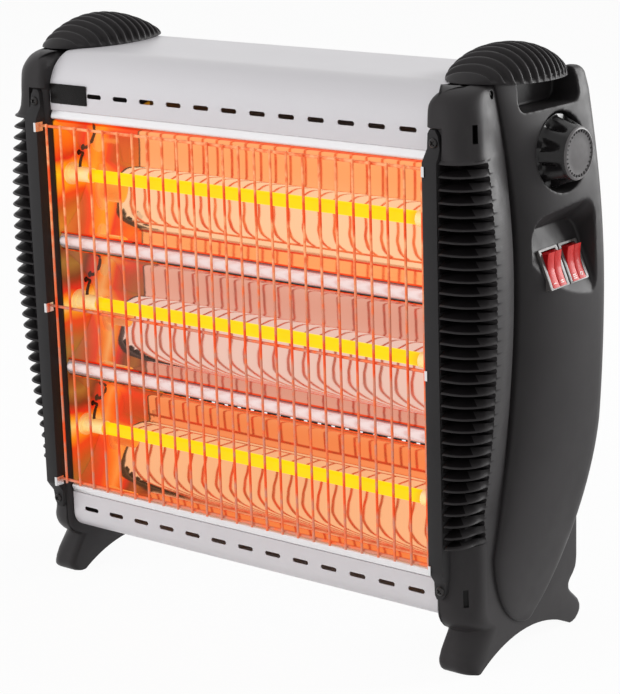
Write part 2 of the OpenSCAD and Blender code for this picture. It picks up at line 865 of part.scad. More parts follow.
module louvres() {
    front = -belly_proud - 1;
    for (i = [0:louvre_count - 1]) {
        z = louvre_z0 + i * louvre_pitch;
        end = louvre_end(z);
        along_x(louvre_x, outer_x + belly_out + 1) union() {
            translate([front, z - louvre_h / 2]) square([end - front, louvre_h]);
            translate([end, z]) circle(d = louvre_h);
        }
    }
}

// Screws that join a cover to its frame, driven from the panel's inner face
cover_posts = [[column_d + 17, tip_z + 90], [panel_d - 13, tip_z + 150],
    [column_d + 17, bulge_z + 45], [panel_d - 13, bulge_z + 60]];
post_r = 4;
module at_cover_posts() {
    for (p = cover_posts) translate([half_w, p[0], p[1]]) rotate([0, 90, 0]) children();
}

module cover_screws() {
    color("dimgray") place() both_sides() at_cover_posts()
        mirror([0, 0, 1]) translate([0, 0, -1.6]) screw(3.2, 1.4, 10);
}

// Screw near the top of each column, in a sunk seat in front of the cover
module at_cap_screw() {
    z = body_h - 7.5;
    translate([outer_x, cover_front(z) - 4.35, z]) rotate([0, 90, 0]) children();
}

module cap_screws() {
    color("black") place() both_sides()
        at_cap_screw() translate([0, 0, -1.65]) screw(2.4, 1.3, 6);
}

module side_frame_right() {
    color("dimgray") place() difference() {
        union() {
            frame_solid();
            belly();
        }
        frame_cavity();
        belly_cavity();
        cover_openings();
        louvres();
        end_holes(half_w - 1, half_w + wall + 1, 1);
        at_cover_posts() translate([0, 0, -1]) cylinder(r = 1.7, h = wall + 2);
        at_cover_posts() translate([0, 0, -1]) cylinder(r = 3.5, h = 2.65);
        at_body_screws() translate([0, 0, -wall - 1]) cylinder(r = 1.8, h = wall + 2);
        for (y = peg_y) translate([peg_x, y, body_h - wall - 1])
            cylinder(d = peg_d + 0.6, h = wall + 2);
        for (z = strip_screws_z) rod_y(-1, wall + 1, strip_screw_x, z, 1.6);
        at_cap_screw() translate([0, 0, -1.7]) cylinder(r = 2.7, h = 4);
        at_cap_screw() translate([0, 0, -9]) cylinder(r = 1.5, h = 9);
        for (p = [[22, body_h - 31], [6, foot_z + 9]])
            block([outer_x - wall - 5, p[0] - 2, p[1] - 6.5], [outer_x + 1, p[0] + 2, p[1] + 6.5]);
        rod_x(half_w - 1, half_w + 12, 24, foot_z - 14, 4);
    }
}

module side_frame_left() {
    mirror([1, 0, 0]) side_frame_right();
}

// Grip recess, drawn larger by a margin for its own walls
module grip_pocket(more) {
    along_x(outer_x - grip_in - more, outer_x + 40) rounded_rect(
        [grip_y0 - more, grip_z1 - grip_h - more], [grip_y0 + grip_l + more, grip_z1 + more],
        [8 + more, 8 + more, 2, 2]);
}

module knob_pocket(more) {
    rod_x(recess_x - more, outer_x + 60, control_y, knob_z, recess_r + more);
}

// The plane of the switches: X points out of it, Y along it and Z up it
module switch_plane() {
    translate([switch_x, control_y, switch_z]) rotate([0, -switch_tilt, 0]) children();
}

module switch_scoop(more) {
    switch_plane() along_x(-more, 40)
        rounded_rect([-scoop_w / 2 - more, -scoop_l / 2 - more],
            [scoop_w / 2 + more, scoop_l / 2 + more], [16, 16, 10, 10] + more * [1, 1, 1, 1]);
}

module at_switch(i) {
    switch_plane() translate([0, (i - 0.5) * (module_w + module_gap), 0]) children();
}

module side_cover(controls) {
    difference() {
        union() {
            skin([for (z = cover_levels) cover_ring(z, 0)]);
            at_cover_posts() translate([0, 0, wall + fit_gap])
                cylinder(r = post_r, h = panel_t - wall - fit_gap + 0.5);
            intersection() {
                grip_pocket(wall);
                block([outer_x - grip_in - wall, 0, 0], [outer_x + 1, panel_d, grip_z1 + wall]);
            }
            if (controls) intersection() {
                switch_scoop(wall);
                block([outer_x - 12, 0, 0], [outer_x + 1, panel_d, body_h]);
            }
        }
        difference() {
            skin([for (z = inner_levels) cover_ring(z, wall)]);
            at_cover_posts() cylinder(r = post_r, h = panel_t + 40);
            grip_pocket(wall);
            if (controls) knob_pocket(wall);
            if (controls) switch_scoop(wall);
        }
        grip_pocket(0);
        at_cover_posts() cylinder(r = 1.45, h = panel_t - 6);
        if (controls) {
            knob_pocket(0);
            switch_scoop(0);
            rod_x(outer_x - 2, recess_x + 1, control_y, knob_z, bush_r + fit_gap);
            for (i = [0, 1]) at_switch(i) along_x(-wall - 12, 1)
                square([module_w - 1.2, module_l - 1.2], center = true);
        }
    }
}

module side_cover_right() {
    color("dimgray") place() side_cover(true);
}

module side_cover_left() {
    color("dimgray") place() mirror([1, 0, 0]) side_cover(false);
}

// ---------- ribbed caps ----------

function cap_share(y) =
    1 - pow((y - cap_crest_y) / (y < cap_crest_y ? cap_crest_y - cap_y0 : cap_y1 - cap_crest_y), 2);

// Section of the cap at depth y, smaller all round by a cut
function cap_ring(y, cut) =
    let (s = cap_share(y), h = max(cap_rise * s - cut, 0.4), w = sqrt(s),
         low = cap_z - (cut > groove_d ? 1 : 0))
    concat(
        [[cap_mid_x - max(cap_in * w - (cut > groove_d ? cut : 0), 1), y, low]],
        [for (a = [180:-12:0])
            [cap_mid_x + cos(a) * (cos(a) > 0 ? max(cap_out * w - cut, 1)
                : max(cap_in * w - (cut > groove_d ? cut : 0), 1)),
             y, cap_z + 0.2 + h * sin(a)]],
        [[cap_mid_x + max(cap_out * w - cut, 1), y, low]]);

cap_ribs = floor((cap_y1 - cap_y0 - 12) / rib_pitch);
cap_rib_y = (cap_y0 + cap_y1 - cap_ribs * rib_pitch) / 2;

module grip_cap_right() {
    slope = 0.5;
    shell = groove_d + 2.2;
    ribs = [for (i = [0:cap_ribs - 1]) let (y = cap_rib_y + i * rib_pitch)
        each [cap_ring(y, 0), cap_ring(y + rib_w, 0), cap_ring(y + rib_w + slope, groove_d),
              cap_ring(y + rib_pitch - slope, groove_d)]];
    color("dimgray") place() difference() {
        union() {
            skin(concat([cap_ring(cap_y0 + 0.8, 0)], ribs, [cap_ring(cap_y1 - 0.8, 0)]));
            for (y = peg_y) translate([peg_x, y, body_h - wall - 1])
                cylinder(d = peg_d, h = 6);
        }
        difference() {
            skin([for (i = [0:10]) cap_ring(cap_y0 + 10 + (cap_y1 - cap_y0 - 20) * i / 10, shell)]);
            for (y = peg_y) translate([peg_x, y, body_h - 4]) cylinder(d = peg_d, h = 44);
        }
    }
}

module grip_cap_left() {
    mirror([1, 0, 0]) grip_cap_right();
}

// ---------- controls ----------

module thermostat() {
    color("tan") place() difference() {
        union() {
            block([recess_x - wall - fit_gap - 20, control_y - 13, knob_z - 15],
                  [recess_x - wall - fit_gap, control_y + 13, knob_z + 15]);
            rod_x(recess_x - wall - 1, knob_x - 0.5, control_y, knob_z, bush_r);
        }
        rod_x(recess_x - wall - 14, knob_x, control_y, knob_z, shaft_d / 2 + shaft_gap);
    }
}

module thermostat_shaft() {
    color("silver") place()
        rod_x(recess_x - wall - 13.5, knob_face_x - 7, control_y, knob_z, shaft_d / 2);
}

// Skirted knob: a fluted cone under a round face
module thermostat_knob() {
    r0 = knob_d / 2;
    r1 = knob_face_d / 2;
    flutes = 9;
    color("dimgray") place() translate([knob_x, control_y, knob_z]) rotate([0, 90, 0])
        difference() {
            rotate_extrude() polygon([[bush_r + 1, 0], [r0 - 0.5, 0], [r0, 1], [r0 - 1, 5],
                [r1 + 3.4, knob_h * 0.55], [r1 + 1.2, knob_h - 4], [r1, knob_h - 3],
                [r1, knob_h - 0.6], [r1 - 0.6, knob_h], [r1 - 2, knob_h], [r1 - 2.4, knob_h - 0.6],
                [0, knob_h - 0.6], [0, 4], [bush_r + 1, 4]]);
            cylinder(r = shaft_d / 2 + 0.02, h = knob_h - 6.5);
            for (i = [0:flutes - 1]) rotate(i * 360 / flutes + 20)
                translate([r0 + 5.5, 0, 2.5]) rotate([0, -18, 0]) cylinder(r = 6.8, h = knob_h);
            for (i = [0:19]) rotate(i * 18)
                translate([r1, 0, knob_h - 3.2]) cylinder(r = 0.8, h = 4);
        }
}

// Twin rocker housing: a bezel on the scoop's floor and a box behind it
module switch_housing(i) {
    well_w = 2 * rocker_w + 3 * rocker_gap;
    well_l = 2 * (rocker_r + rocker_gap);
    color("gray") place() at_switch(i) {
        difference() {
            union() {
                along_x(0, bezel_t)
                    rounded_rect([-module_w / 2, -module_l / 2], [module_w / 2, module_l / 2],
                        [1, 1, 1, 1]);
                along_x(-housing_deep, eps)
                    square([module_w - 1.6, module_l - 1.6], center = true);
            }
            along_x(-housing_deep + 2, bezel_t + 1) square([well_w, well_l], center = true);
        }
        rod_y(-well_w / 2 - 0.5, well_w / 2 + 0.5, pivot_x, 0, pin_r);
    }
}

module switch_housing_front() {
    switch_housing(0);
}

module switch_housing_rear() {
    switch_housing(1);
}

// Rocker with a V-shaped face, tipped so that its lower half lies along the bezel
module rocker(i, side) {
    half = rocker_swing / 2;
    rise = rocker_rise - pivot_x;
    color("crimson") place() at_switch(i)
        translate([pivot_x, side * (rocker_w + rocker_gap) / 2, 0]) rotate([0, half, 0])
            rocker_profile(rise, half);
}

// The rocker's side view, extruded over its width about its own pivot
module rocker_profile(rise, half) {
    top = rise + rocker_r * tan(half);
    rotate([90, 0, 0]) linear_extrude(height = rocker_w, center = true) difference() {
        intersection() {
            circle(r = rocker_r);
            polygon([[-2.5, -rocker_r], [top, -rocker_r], [rise, 0], [top, rocker_r],
                [-2.5, rocker_r]]);
        }
        circle(r = pin_r + 0.05);
    }
}

module rocker_1() {
    rocker(0, -1);
}

module rocker_2() {
    rocker(0, 1);
}

module rocker_3() {
    rocker(1, -1);
}

module rocker_4() {
    rocker(1, 1);
}

// ---------- electrical pieces inside ----------

block_low = [inlet_x - 66, inside_y - 30, under_h + sheet_t + fit_gap];
block_size = [34, 16, 17];

module terminal_block() {
    color("ivory") place() difference() {
        block(block_low, block_low + block_size);
        for (i = [0:2]) translate(block_low + [6 + 11 * i, block_size[1] / 2, 8])
            cylinder(d = 4, h = 12);
    }
}

tilt_low = [half_w + wall + fit_gap, control_y - 21, switch_z - 67];
module tilt_switch() {
    color("ivory") place() block(tilt_low, tilt_low + [18, 20, 24]);
}

// Mains wires: from the inlet to the terminal block, and on into the right-hand panel
module mains_wires() {
    z = block_low[2] + 10;
    end = block_low + [block_size[0] + fit_gap, block_size[1] / 2, 10];
    color("saddlebrown") place() {
        for (s = [-1, 1])
            wire(spline([end + [0, s * 3, 0], end + [14, s * 3, 2],
                [inlet_x - 14, inside_y - 24, inlet_z - 6],
                [inlet_x - 2, inside_y - 18, inlet_z + s * 1.8],
                [inlet_x, inside_y - 12, inlet_z + s * 1.8],
                [inlet_x, inside_y - 8.5, inlet_z + s * 1.8]], 4), 1.4);
        wire(spline([block_low + [6, -0.5, 10], block_low + [6, -10, 10],
            [inlet_x - 30, inside_y - 46, z + 6], [half_w - 30, inside_y - 30, harness[1]],
            [half_w - 10, harness[0], harness[1]], [half_w + 8, harness[0], harness[1]],
            [half_w + 15, harness[0] + 2, harness[1] + 14],
            [half_w + 14, tilt_low[1] + 10, tilt_low[2] - 30],
            [half_w + 10, tilt_low[1] + 10, tilt_low[2] - 8],
            [half_w + 10, tilt_low[1] + 10, tilt_low[2] - fit_gap]], 4), 1.4);
    }
}

// Control wires: from the tilt switch to the thermostat, and down to each switch
module control_wires() {
    t = [recess_x - wall - fit_gap - 14, control_y, knob_z - 15.5];
    color("saddlebrown") place() {
        wire(spline([[half_w + 10, tilt_low[1] + 10, tilt_low[2] + 24 + fit_gap],
            [half_w + 10, tilt_low[1] + 10, tilt_low[2] + 34],
            [half_w + 9, control_y - 12, switch_z + 10], [half_w + 10, control_y - 8, switch_z + 36],
            t + [0, -6, -9], t + [0, -6, 0]], 4), 1.4);
        for (i = [0, 1]) {
            s = (i - 0.5) * (module_w + module_gap);
            wire(spline([t + [-3, 2 + 5 * i, 0], t + [-3, 2 + 5 * i, -10],
                [half_w + 12, control_y + s, switch_z + 26],
                [half_w + 10, control_y + s, switch_z + 8],
                [half_w + 16, control_y + s, switch_z - 8],
                [switch_x - (housing_deep + 4) * cos(switch_tilt), control_y + s,
                 switch_z - (housing_deep + 4) * sin(switch_tilt)],
                [switch_x - (housing_deep + fit_gap) * cos(switch_tilt), control_y + s,
                 switch_z - (housing_deep + fit_gap) * sin(switch_tilt)]], 4), 1.4);
        }
    }
}

top_shell();
bottom_shell();
back_panel();
top_trim();
bottom_trim();
badge_plate();
end_plate_left();
end_plate_right();
reflector_lower();
reflector_middle();
reflector_upper();
divider_lower();
divider_upper();
quartz_tube_lower();
quartz_tube_middle();
quartz_tube_upper();
filament_lower();
filament_middle();
filament_upper();
tube_caps_left();
tube_caps_right();
lead_wires_left();
lead_wires_right();
guard_uprights();
guard_rails();
guard_clips();
guard_strip_left();
guard_strip_right();
guard_screws();
side_frame_left();
side_frame_right();
side_cover_left();
side_cover_right();
grip_cap_left();
grip_cap_right();
cover_screws();
cap_screws();
body_screws();
back_screws();
thermostat();
thermostat_shaft();
thermostat_knob();
switch_housing_front();
switch_housing_rear();
rocker_1();
rocker_2();
rocker_3();
rocker_4();
terminal_block();
tilt_switch();
inlet_bush();
mains_wires();
control_wires();
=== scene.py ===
"""Looks of the halogen heater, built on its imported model.

Shapes are written in millimetres as the source has them: X across, Y back from the front of the
columns, Z up from the floor. point() turns them into metres in the frame.
"""

from math import cos, exp, hypot, pi, radians, sin, sqrt, tan

import bmesh
import bpy
import numpy as np
from mathutils import Matrix, Vector


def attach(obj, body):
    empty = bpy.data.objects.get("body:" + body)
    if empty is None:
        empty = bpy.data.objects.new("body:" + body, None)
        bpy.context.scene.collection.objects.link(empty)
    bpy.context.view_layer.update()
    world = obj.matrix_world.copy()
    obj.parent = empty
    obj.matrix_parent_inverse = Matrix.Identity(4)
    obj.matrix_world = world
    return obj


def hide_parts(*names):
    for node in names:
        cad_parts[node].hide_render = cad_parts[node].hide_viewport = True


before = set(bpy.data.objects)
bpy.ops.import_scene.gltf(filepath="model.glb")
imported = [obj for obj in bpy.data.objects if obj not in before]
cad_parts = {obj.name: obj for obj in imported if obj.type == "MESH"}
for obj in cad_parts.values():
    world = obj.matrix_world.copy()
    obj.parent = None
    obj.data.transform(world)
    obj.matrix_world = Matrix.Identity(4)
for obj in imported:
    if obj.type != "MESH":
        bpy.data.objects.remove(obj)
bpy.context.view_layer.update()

ROOT = "heater"
SIDES = ((1, "right"), (-1, "left"))
MIDDLE_Y = 71.5
HALF = 182.5        # inner face of a side panel
OUT = 212.0         # outer face of a side panel
TOP = 430.0         # top of the body
COLUMN_R = 22.0     # outer front edge of a column
TROUGH_Z = [123.833, 228.0, 332.167]
OPEN_LOW, OPEN_HIGH = 78.0, 378.0
NOSE_Z = [175.917, 280.083]
TUBE_Y = 23.0
CONTROL_Y = 104.0
KNOB_Z = 372.7
BELLY_X = 231.0     # widest reach of the louvred belly
BELLY_PROUD = 10.0  # how far the belly stands in front of the column
LOUVRES = 31
LOUVRE_Z0, LOUVRE_PITCH = 105.5, 9.05
COVER_BULGE = 22.0
SWITCH_AT = (225.5, 104.0, 290.0)
SWITCH_TILT = 22.0
MODULE_PITCH = 26.2     # from one switch to the next


def point(x, y, z):
    return (x / 1000, (y - MIDDLE_Y) / 1000, z / 1000)


# ---- materials ----

def linear(rgb):
    return tuple(c / 12.92 if c <= 0.04045 else ((c + 0.055) / 1.055) ** 2.4 for c in rgb)


def srgb(r, g, b):
    return linear((r / 255, g / 255, b / 255)) + (1.0,)


def scaled(color, k):
    return tuple(min(c * k, 1.0) for c in color[:3]) + (1.0,)


class Nodes:
    """A Principled material and short ways to add nodes to it."""

    def __init__(self, name, **values):
        self.mat = bpy.data.materials.new(name)
        self.mat.use_nodes = True
        self.tree = self.mat.node_tree
        self.shader = self.tree.nodes["Principled BSDF"]
        self.coords = None
        for key, value in values.items():
            self.shader.inputs[key].default_value = value

    def add(self, kind, values=None, **props):
        node = self.tree.nodes.new("ShaderNode" + kind)
        for key, value in (values or {}).items():
            node.inputs[key].default_value = value
        for key, value in props.items():
            setattr(node, key, value)
        return node

    def link(self, a, b):
        self.tree.links.new(a, b)

    def place(self):
        if self.coords is None:
            self.coords = self.add("TexCoord").outputs["Object"]
        return self.coords

    def noise(self, scale, detail, stretch=None):
        node = self.add("TexNoise", {"Scale": scale, "Detail": detail})
        source = self.place()
        if stretch:
            mapping = self.add("Mapping", {"Scale": stretch})
            self.link(source, mapping.inputs["Vector"])
            source = mapping.outputs["Vector"]
        self.link(source, node.inputs["Vector"])
        return node.outputs[0]

    def spread(self, source, low, high, start=0.3, stop=0.7):
        node = self.add("MapRange",
                        {"From Min": start, "From Max": stop, "To Min": low, "To Max": high})
        self.link(source, node.inputs["Value"])
        return node.outputs["Result"]

    def mix(self, factor, a, b):
        node = self.add("Mix", data_type="RGBA")
        self.link(factor, node.inputs[0])
        for slot, value in ((6, a), (7, b)):
            if isinstance(value, tuple):
                node.inputs[slot].default_value = value
            else:
                self.link(value, node.inputs[slot])
        return node.outputs[2]

    def axis(self, name):
        node = self.add("SeparateXYZ")
        self.link(self.place(), node.inputs[0])
        return node.outputs[name]

    def ramp(self, source, stops):
        node = self.add("ValToRGB")
        ramp = node.color_ramp
        while len(ramp.elements) < len(stops):
            ramp.elements.new(0.5)
        for element, (place, color) in zip(ramp.elements, stops):
            element.position = place
            element.color = color
        self.link(source, node.inputs[0])
        return node.outputs[0]

    def math(self, kind, source, *values):
        node = self.add("Math", operation=kind)
        self.link(source, node.inputs[0])
        for slot, value in enumerate(values, 1):
            if isinstance(value, (int, float)):
                node.inputs[slot].default_value = value
            else:
                self.link(value, node.inputs[slot])
        return node.outputs[0]

    def off_tube(self):
        """Height above or below the nearest tube, in millimetres."""
        above = self.math("SUBTRACT", self.axis("Z"), TROUGH_Z[0] / 1000)
        half = (TROUGH_Z[1] - TROUGH_Z[0]) / 2000
        return self.math("MULTIPLY", self.math("PINGPONG", above, half), 1000)

    def bump(self, source, strength, distance):
        node = self.add("Bump", {"Strength": strength, "Distance": distance})
        self.link(source, node.inputs["Height"])
        self.to(node.outputs[0], "Normal")

    def to(self, source, socket):
        self.link(source, self.shader.inputs[socket])


def surface(name, rgb, rough, metal=0.0, specular=0.5, vary=0.12, patch=14, grain=900,
            bump=0.15, depth=0.00005, rough_vary=0.06, coat=0.0, coat_rough=0.1):
    """Colour that drifts in soft patches, uneven gloss, and a fine moulded or painted grain."""
    m = Nodes(name, **{"Roughness": rough, "Metallic": metal, "Specular IOR Level": specular,
                       "Coat Weight": coat, "Coat Roughness": coat_rough})
    color = srgb(*rgb)
    patches = m.spread(m.noise(patch, 4.0), 0, 1)
    m.to(m.mix(patches, scaled(color, 1 - vary), scaled(color, 1 + vary)), "Base Color")
    m.to(m.spread(m.noise(patch * 5, 3.0), rough - rough_vary, rough + rough_vary), "Roughness")
    if bump:
        m.bump(m.noise(grain, 2.0), bump, depth)
    return m.mat


def glow(name, middle, ends, strength, reach, base):
    """A glowing tube that is cooler towards its ends."""
    m = Nodes(name, **{"Roughness": 0.3, "Emission Strength": strength, "Base Color": base,
                       "Specular IOR Level": 0.15})
    along = m.spread(m.math("ABSOLUTE", m.axis("X")), 0, 1, *reach)
    ripple = m.spread(m.noise(60, 2.0, (1, 0.3, 0.3)), 0, 0.16)
    m.to(m.mix(m.math("MAXIMUM", along, ripple), middle, ends), "Emission Color")
    return m.mat


def mirror_sheet(name, tint, rough, lip=None, painted_glow_from=None):
    """Polished reflector sheet whose tint and faint emission are a painted orange reflection and glow of the
    tubes, with a painted red-orange glow along its lips and above painted_glow_from.
    """
    m = Nodes(name, **{"Metallic": 1.0, "Roughness": rough, "Emission Strength": 0.12})
    patches = m.noise(9, 3.0, (0.4, 1, 1))
    color = m.mix(m.spread(patches, 0, 1), scaled(tint, 0.95), scaled(tint, 1.04))
    if lip:
        edge = m.spread(m.off_tube(), 0, 1, *lip)
        if painted_glow_from:
            edge = m.math("MAXIMUM", edge, m.spread(m.axis("Z"), 0, 1, painted_glow_from, painted_glow_from + 0.0006))
        color = m.mix(edge, color, RED_ORANGE)
        m.to(m.mix(edge, scaled(tint, 0.5), RED_ORANGE), "Emission Color")
    m.to(color, "Base Color")
    m.to(m.spread(m.noise(60, 3.0, (0.05, 1, 1)), rough, rough + 0.03), "Roughness")
    m.bump(m.noise(40, 1.0, (0.3, 1, 1)), 0.05, 0.0003)
    return m.mat


def glow_painted_plate(name):
    """End plate with painted glow and reflection of the tubes: its colour bands and emission follow the
    height of the tubes in front of it.
    """
    m = Nodes(name, **{"Metallic": 0.55, "Roughness": 0.34, "Emission Strength": 0.30})
    upper = ((-44, GOLD), (-27, COPPER), (-17, RED_ORANGE), (-9, AMBER), (1, YELLOW), (8, AMBER),
             (13, GLOW_RED), (22, ORANGE), (44, AMBER))
    lower = ((-44, OLIVE), (-29, COPPER), (-16, RED_ORANGE), (-8, AMBER), (0, CREAM), (8, AMBER),
             (14, GLOW_RED), (23, BROWN), (34, OLIVE), (44, BROWN))
    stops = [(0.0, OPENING_END_DARK)]
    for level, z in enumerate(TROUGH_Z):
        for rise, color in upper if level == 2 else lower:
            stops.append(((z + rise - OPEN_LOW) / (OPEN_HIGH - OPEN_LOW), color))
    stops.append((1.0, OPENING_END_DARK))
    wavy = m.math("ADD", m.axis("Z"), m.spread(m.noise(28, 2.0), -0.005, 0.005))
    color = m.ramp(m.spread(wavy, 0, 1, OPEN_LOW / 1000, OPEN_HIGH / 1000), stops)
    m.to(color, "Base Color")
    m.to(color, "Emission Color")
    m.to(m.spread(m.noise(70, 3.0), 0.28, 0.40), "Roughness")
    m.bump(m.noise(900, 2.0), 0.05, 0.00005)
    return m.mat


def glow_painted_wire(name, uprights=True):
    """Guard wire: bright plating under a painted orange glow and reflection of the tubes, lighter high up;
    uprights get a painted red-orange glow where a tube is behind them.
    """
    m = Nodes(name, **{"Metallic": 0.45, "Roughness": 0.38, "Emission Strength": 0.22})
    high = m.spread(m.axis("Z"), 0, 1, 0.262, 0.300)
    cool = m.mix(high, srgb(206, 132, 108), srgb(247, 164, 112))
    streaks = m.mix(m.spread(m.noise(130, 2.0), 0, 1, 0.42, 0.62), cool, srgb(236, 112, 62))
    color = m.mix(m.spread(m.off_tube(), 0, 1, 7, 12), RED_ORANGE, streaks) if uprights else streaks
    m.to(color, "Base Color")
    m.to(color, "Emission Color")
    m.bump(m.noise(700, 2.0), 0.08, 0.00004)
    return m.mat


def ceramic_cap(name):
    """White ceramic with a painted glow: its colour and emission are yellow next to the tube it holds and
    more orange away from it.
    """
    m = Nodes(name, **{"Roughness": 0.5, "Emission Strength": 0.34})
    near = m.spread(m.off_tube(), 0, 1, 3, 8)
    color = m.mix(near, srgb(255, 238, 170), srgb(250, 200, 110))
    m.to(m.mix(m.spread(m.noise(90, 3.0), 0, 1), color, srgb(240, 222, 190)), "Base Color")
    m.to(m.mix(near, srgb(255, 226, 120), srgb(246, 150, 60)), "Emission Color")
    m.bump(m.noise(1200, 2.0), 0.2, 0.00005)
    return m.mat


RED_ORANGE, GLOW_RED, ORANGE = srgb(238, 84, 32), srgb(234, 58, 34), srgb(245, 126, 32)
AMBER, YELLOW, CREAM = srgb(252, 172, 32), srgb(255, 208, 24), srgb(255, 228, 140)
GOLD, OLIVE, COPPER = srgb(214, 160, 62), srgb(176, 140, 66), srgb(202, 106, 42)
# OPENING_END_DARK: the end plates' colour at the top and bottom of the opening, which makes them darker
# there.
BROWN, OPENING_END_DARK = srgb(142, 82, 44), srgb(30, 28, 28)

charcoal = surface("charcoal_plastic", (51, 49, 50), 0.42, specular=0.15, vary=0.10, bump=0.22,
                   grain=1500, depth=0.00006)
# A darker copy of the charcoal plastic for the caps: painted shade on these upward-facing parts.
cap_shaded_black = surface("cap_plastic_painted_shade", (40, 38, 39), 0.45, specular=0.12, vary=0.10, bump=0.22,
                    grain=1500)
# Painted shade: a near-black copy of the charcoal for the faces inside the louvre slots and on the fins' sunk
# slopes.
louvre_painted_shade = surface("louvre_painted_shade", (20, 18, 19), 0.6, specular=0.06, vary=0.15, bump=0.1, grain=1500)
strip_black = surface("strip_plastic", (48, 47, 48), 0.45, specular=0.12, vary=0.10, bump=0.2)
body_paint = surface("body_paint", (218, 216, 220), 0.38, specular=0.35, vary=0.015, patch=5,
                     grain=2200, bump=0.05, rough_vary=0.03, coat=0.15, coat_rough=0.25)
back_paint = surface("back_paint", (150, 150, 153), 0.5, specular=0.4, vary=0.04, grain=1800, bump=0.1)
trim_metal = surface("trim_metal", (240, 239, 241), 0.24, metal=0.45, vary=0.02, patch=7, bump=0.0,
                     rough_vary=0.03)
sheet_grey = surface("sheet_grey", (70, 68, 68), 0.5, metal=0.5, specular=0.2, vary=0.1, patch=20)
badge_black = surface("badge_black", (17, 15, 15), 0.30, specular=0.15, vary=0.2, patch=60, bump=0.05)
end_metal = glow_painted_plate("end_plate_metal")
# LIP_GLOW: height off a tube, in mm, past which a trough's lips get the painted red-orange glow.
LIP_GLOW = (44.5, 44.9)
# Tints of the troughs: painted orange reflection of the tubes' glow.
trough_mats = [mirror_sheet("trough_mirror_lower", srgb(248, 178, 128), 0.035, LIP_GLOW),
               mirror_sheet("trough_mirror_middle", srgb(234, 192, 176), 0.035, LIP_GLOW),
               mirror_sheet("trough_mirror_upper", srgb(252, 198, 152), 0.035, LIP_GLOW, 0.3748)]
# Pale pink tint and faint white emission: painted reflection and glow of the tubes.
nose_mat = mirror_sheet("nose_mirror", srgb(238, 214, 210), 0.30)
quartz = glow("quartz", (1.0, 0.745, 0.0, 1), (0.92, 0.33, 0.02, 1), 1.0, (0.150, 0.164),
              (0.02, 0.012, 0.004, 1))
filament = glow("hot_filament", (1.0, 0.5, 0.05, 1), (1.0, 0.2, 0.02, 1), 1.5, (0.15, 0.19),
                srgb(200, 90, 20))
ceramic = ceramic_cap("white_ceramic")
sleeve = surface("wire_sleeve", (70, 42, 20), 0.6, vary=0.25, patch=120, bump=0.4)
guard_wire = glow_painted_wire("guard_wire")
guard_rail = glow_painted_wire("guard_rail", False)
clip_metal = surface("clip_metal", (225, 225, 226), 0.22, metal=1.0, vary=0.03, bump=0.0)
screw_black = surface("screw_black", (46, 44, 44), 0.35, metal=0.6, vary=0.15, patch=200, bump=0.1)
screw_zinc = surface("screw_zinc", (170, 168, 160), 0.3, metal=0.9, vary=0.08, patch=200, bump=0.1)
knob_black = surface("knob_plastic", (28, 26, 27), 0.22, specular=0.3, vary=0.15, patch=60, bump=0.05)
knob_face = surface("knob_face", (78, 75, 76), 0.45, specular=0.2, vary=0.05, patch=50, bump=0.15)
knob_rim = surface("knob_rim", (106, 103, 104), 0.35, specular=0.3, vary=0.05, patch=50, bump=0.1)
bezel = surface("bezel_plastic", (104, 100, 99), 0.36, specular=0.4, vary=0.08, patch=60, bump=0.15)
# Near-black for the knob's dark tick marks, and as painted shade on the faces of the frames' corner slots and
# cap screw seats.
ticks_and_painted_hole_shade = surface("ticks_and_painted_hole_shade", (14, 13, 13), 0.7, specular=0.2, vary=0.2, patch=60, bump=0.0)
# The rockers' own red, with a lighter pink copy for their hollow faces as painted light and a darker copy for
# their ends and sides as painted shade.
rocker_red = surface("rocker_red", (206, 26, 28), 0.26, specular=0.12, vary=0.05, patch=60, bump=0.03)
rocker_top = surface("rocker_top", (206, 52, 50), 0.30, specular=0.12, vary=0.04, patch=60, bump=0.03)
rocker_side = surface("rocker_side", (186, 20, 26), 0.3, specular=0.12, vary=0.06, patch=60, bump=0.03)
mark_white = surface("mark_white", (240, 225, 220), 0.45, vary=0.05, patch=200, bump=0.0)
plain = {
    "thermostat": surface("thermostat_body", (178, 150, 110), 0.5, vary=0.08, patch=60),
    "thermostat_shaft": surface("shaft_steel", (180, 180, 182), 0.25, metal=1.0, vary=0.04),
    "terminal_block": surface("block_resin", (228, 220, 198), 0.45, vary=0.05, patch=80),
    "inlet_bush": surface("bush_rubber", (26, 26, 27), 0.55, vary=0.15, patch=120, bump=0.3),
}
plain["tilt_switch"] = plain["terminal_block"]


def dress(data, material):
    data.materials.clear()
    data.materials.append(material)
    data.polygons.foreach_set("material_index", [0] * len(data.polygons))


def paint(material, *nodes):
    """Gives shown CAD nodes their material."""
    for name in nodes:
        dress(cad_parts[name].data, material)


for node_name, node_material in plain.items():
    paint(node_material, node_name)
paint(body_paint, "top_shell", "bottom_shell")
paint(back_paint, "back_panel")
paint(end_metal, "end_plate_left", "end_plate_right")
paint(ceramic, "tube_caps_left", "tube_caps_right")
paint(guard_wire, "guard_uprights")
paint(guard_rail, "guard_rails")
paint(sleeve, "mains_wires", "control_wires", "lead_wires_left", "lead_wires_right")
paint(screw_zinc, "body_screws", "cover_screws")
paint(screw_black, "back_screws")


# ---- mesh helpers ----

def placed(name, data):
    obj = bpy.data.objects.new(name, data)
    bpy.context.collection.objects.link(obj)
    return obj


def mesh_object(name, part):
    """A new object with the mesh of a part, which is a pair of vertices and faces."""
    data = bpy.data.meshes.new(name)
    data.from_pydata([point(*v) for v in part[0]], [], part[1])
    return placed(name, data)


def finish_mesh(obj, angle):
    data = obj.data
    data.polygons.foreach_set("use_smooth", [True] * len(data.polygons))
    if angle < 180:
        data.set_sharp_from_angle(angle=radians(angle))
    data.update()


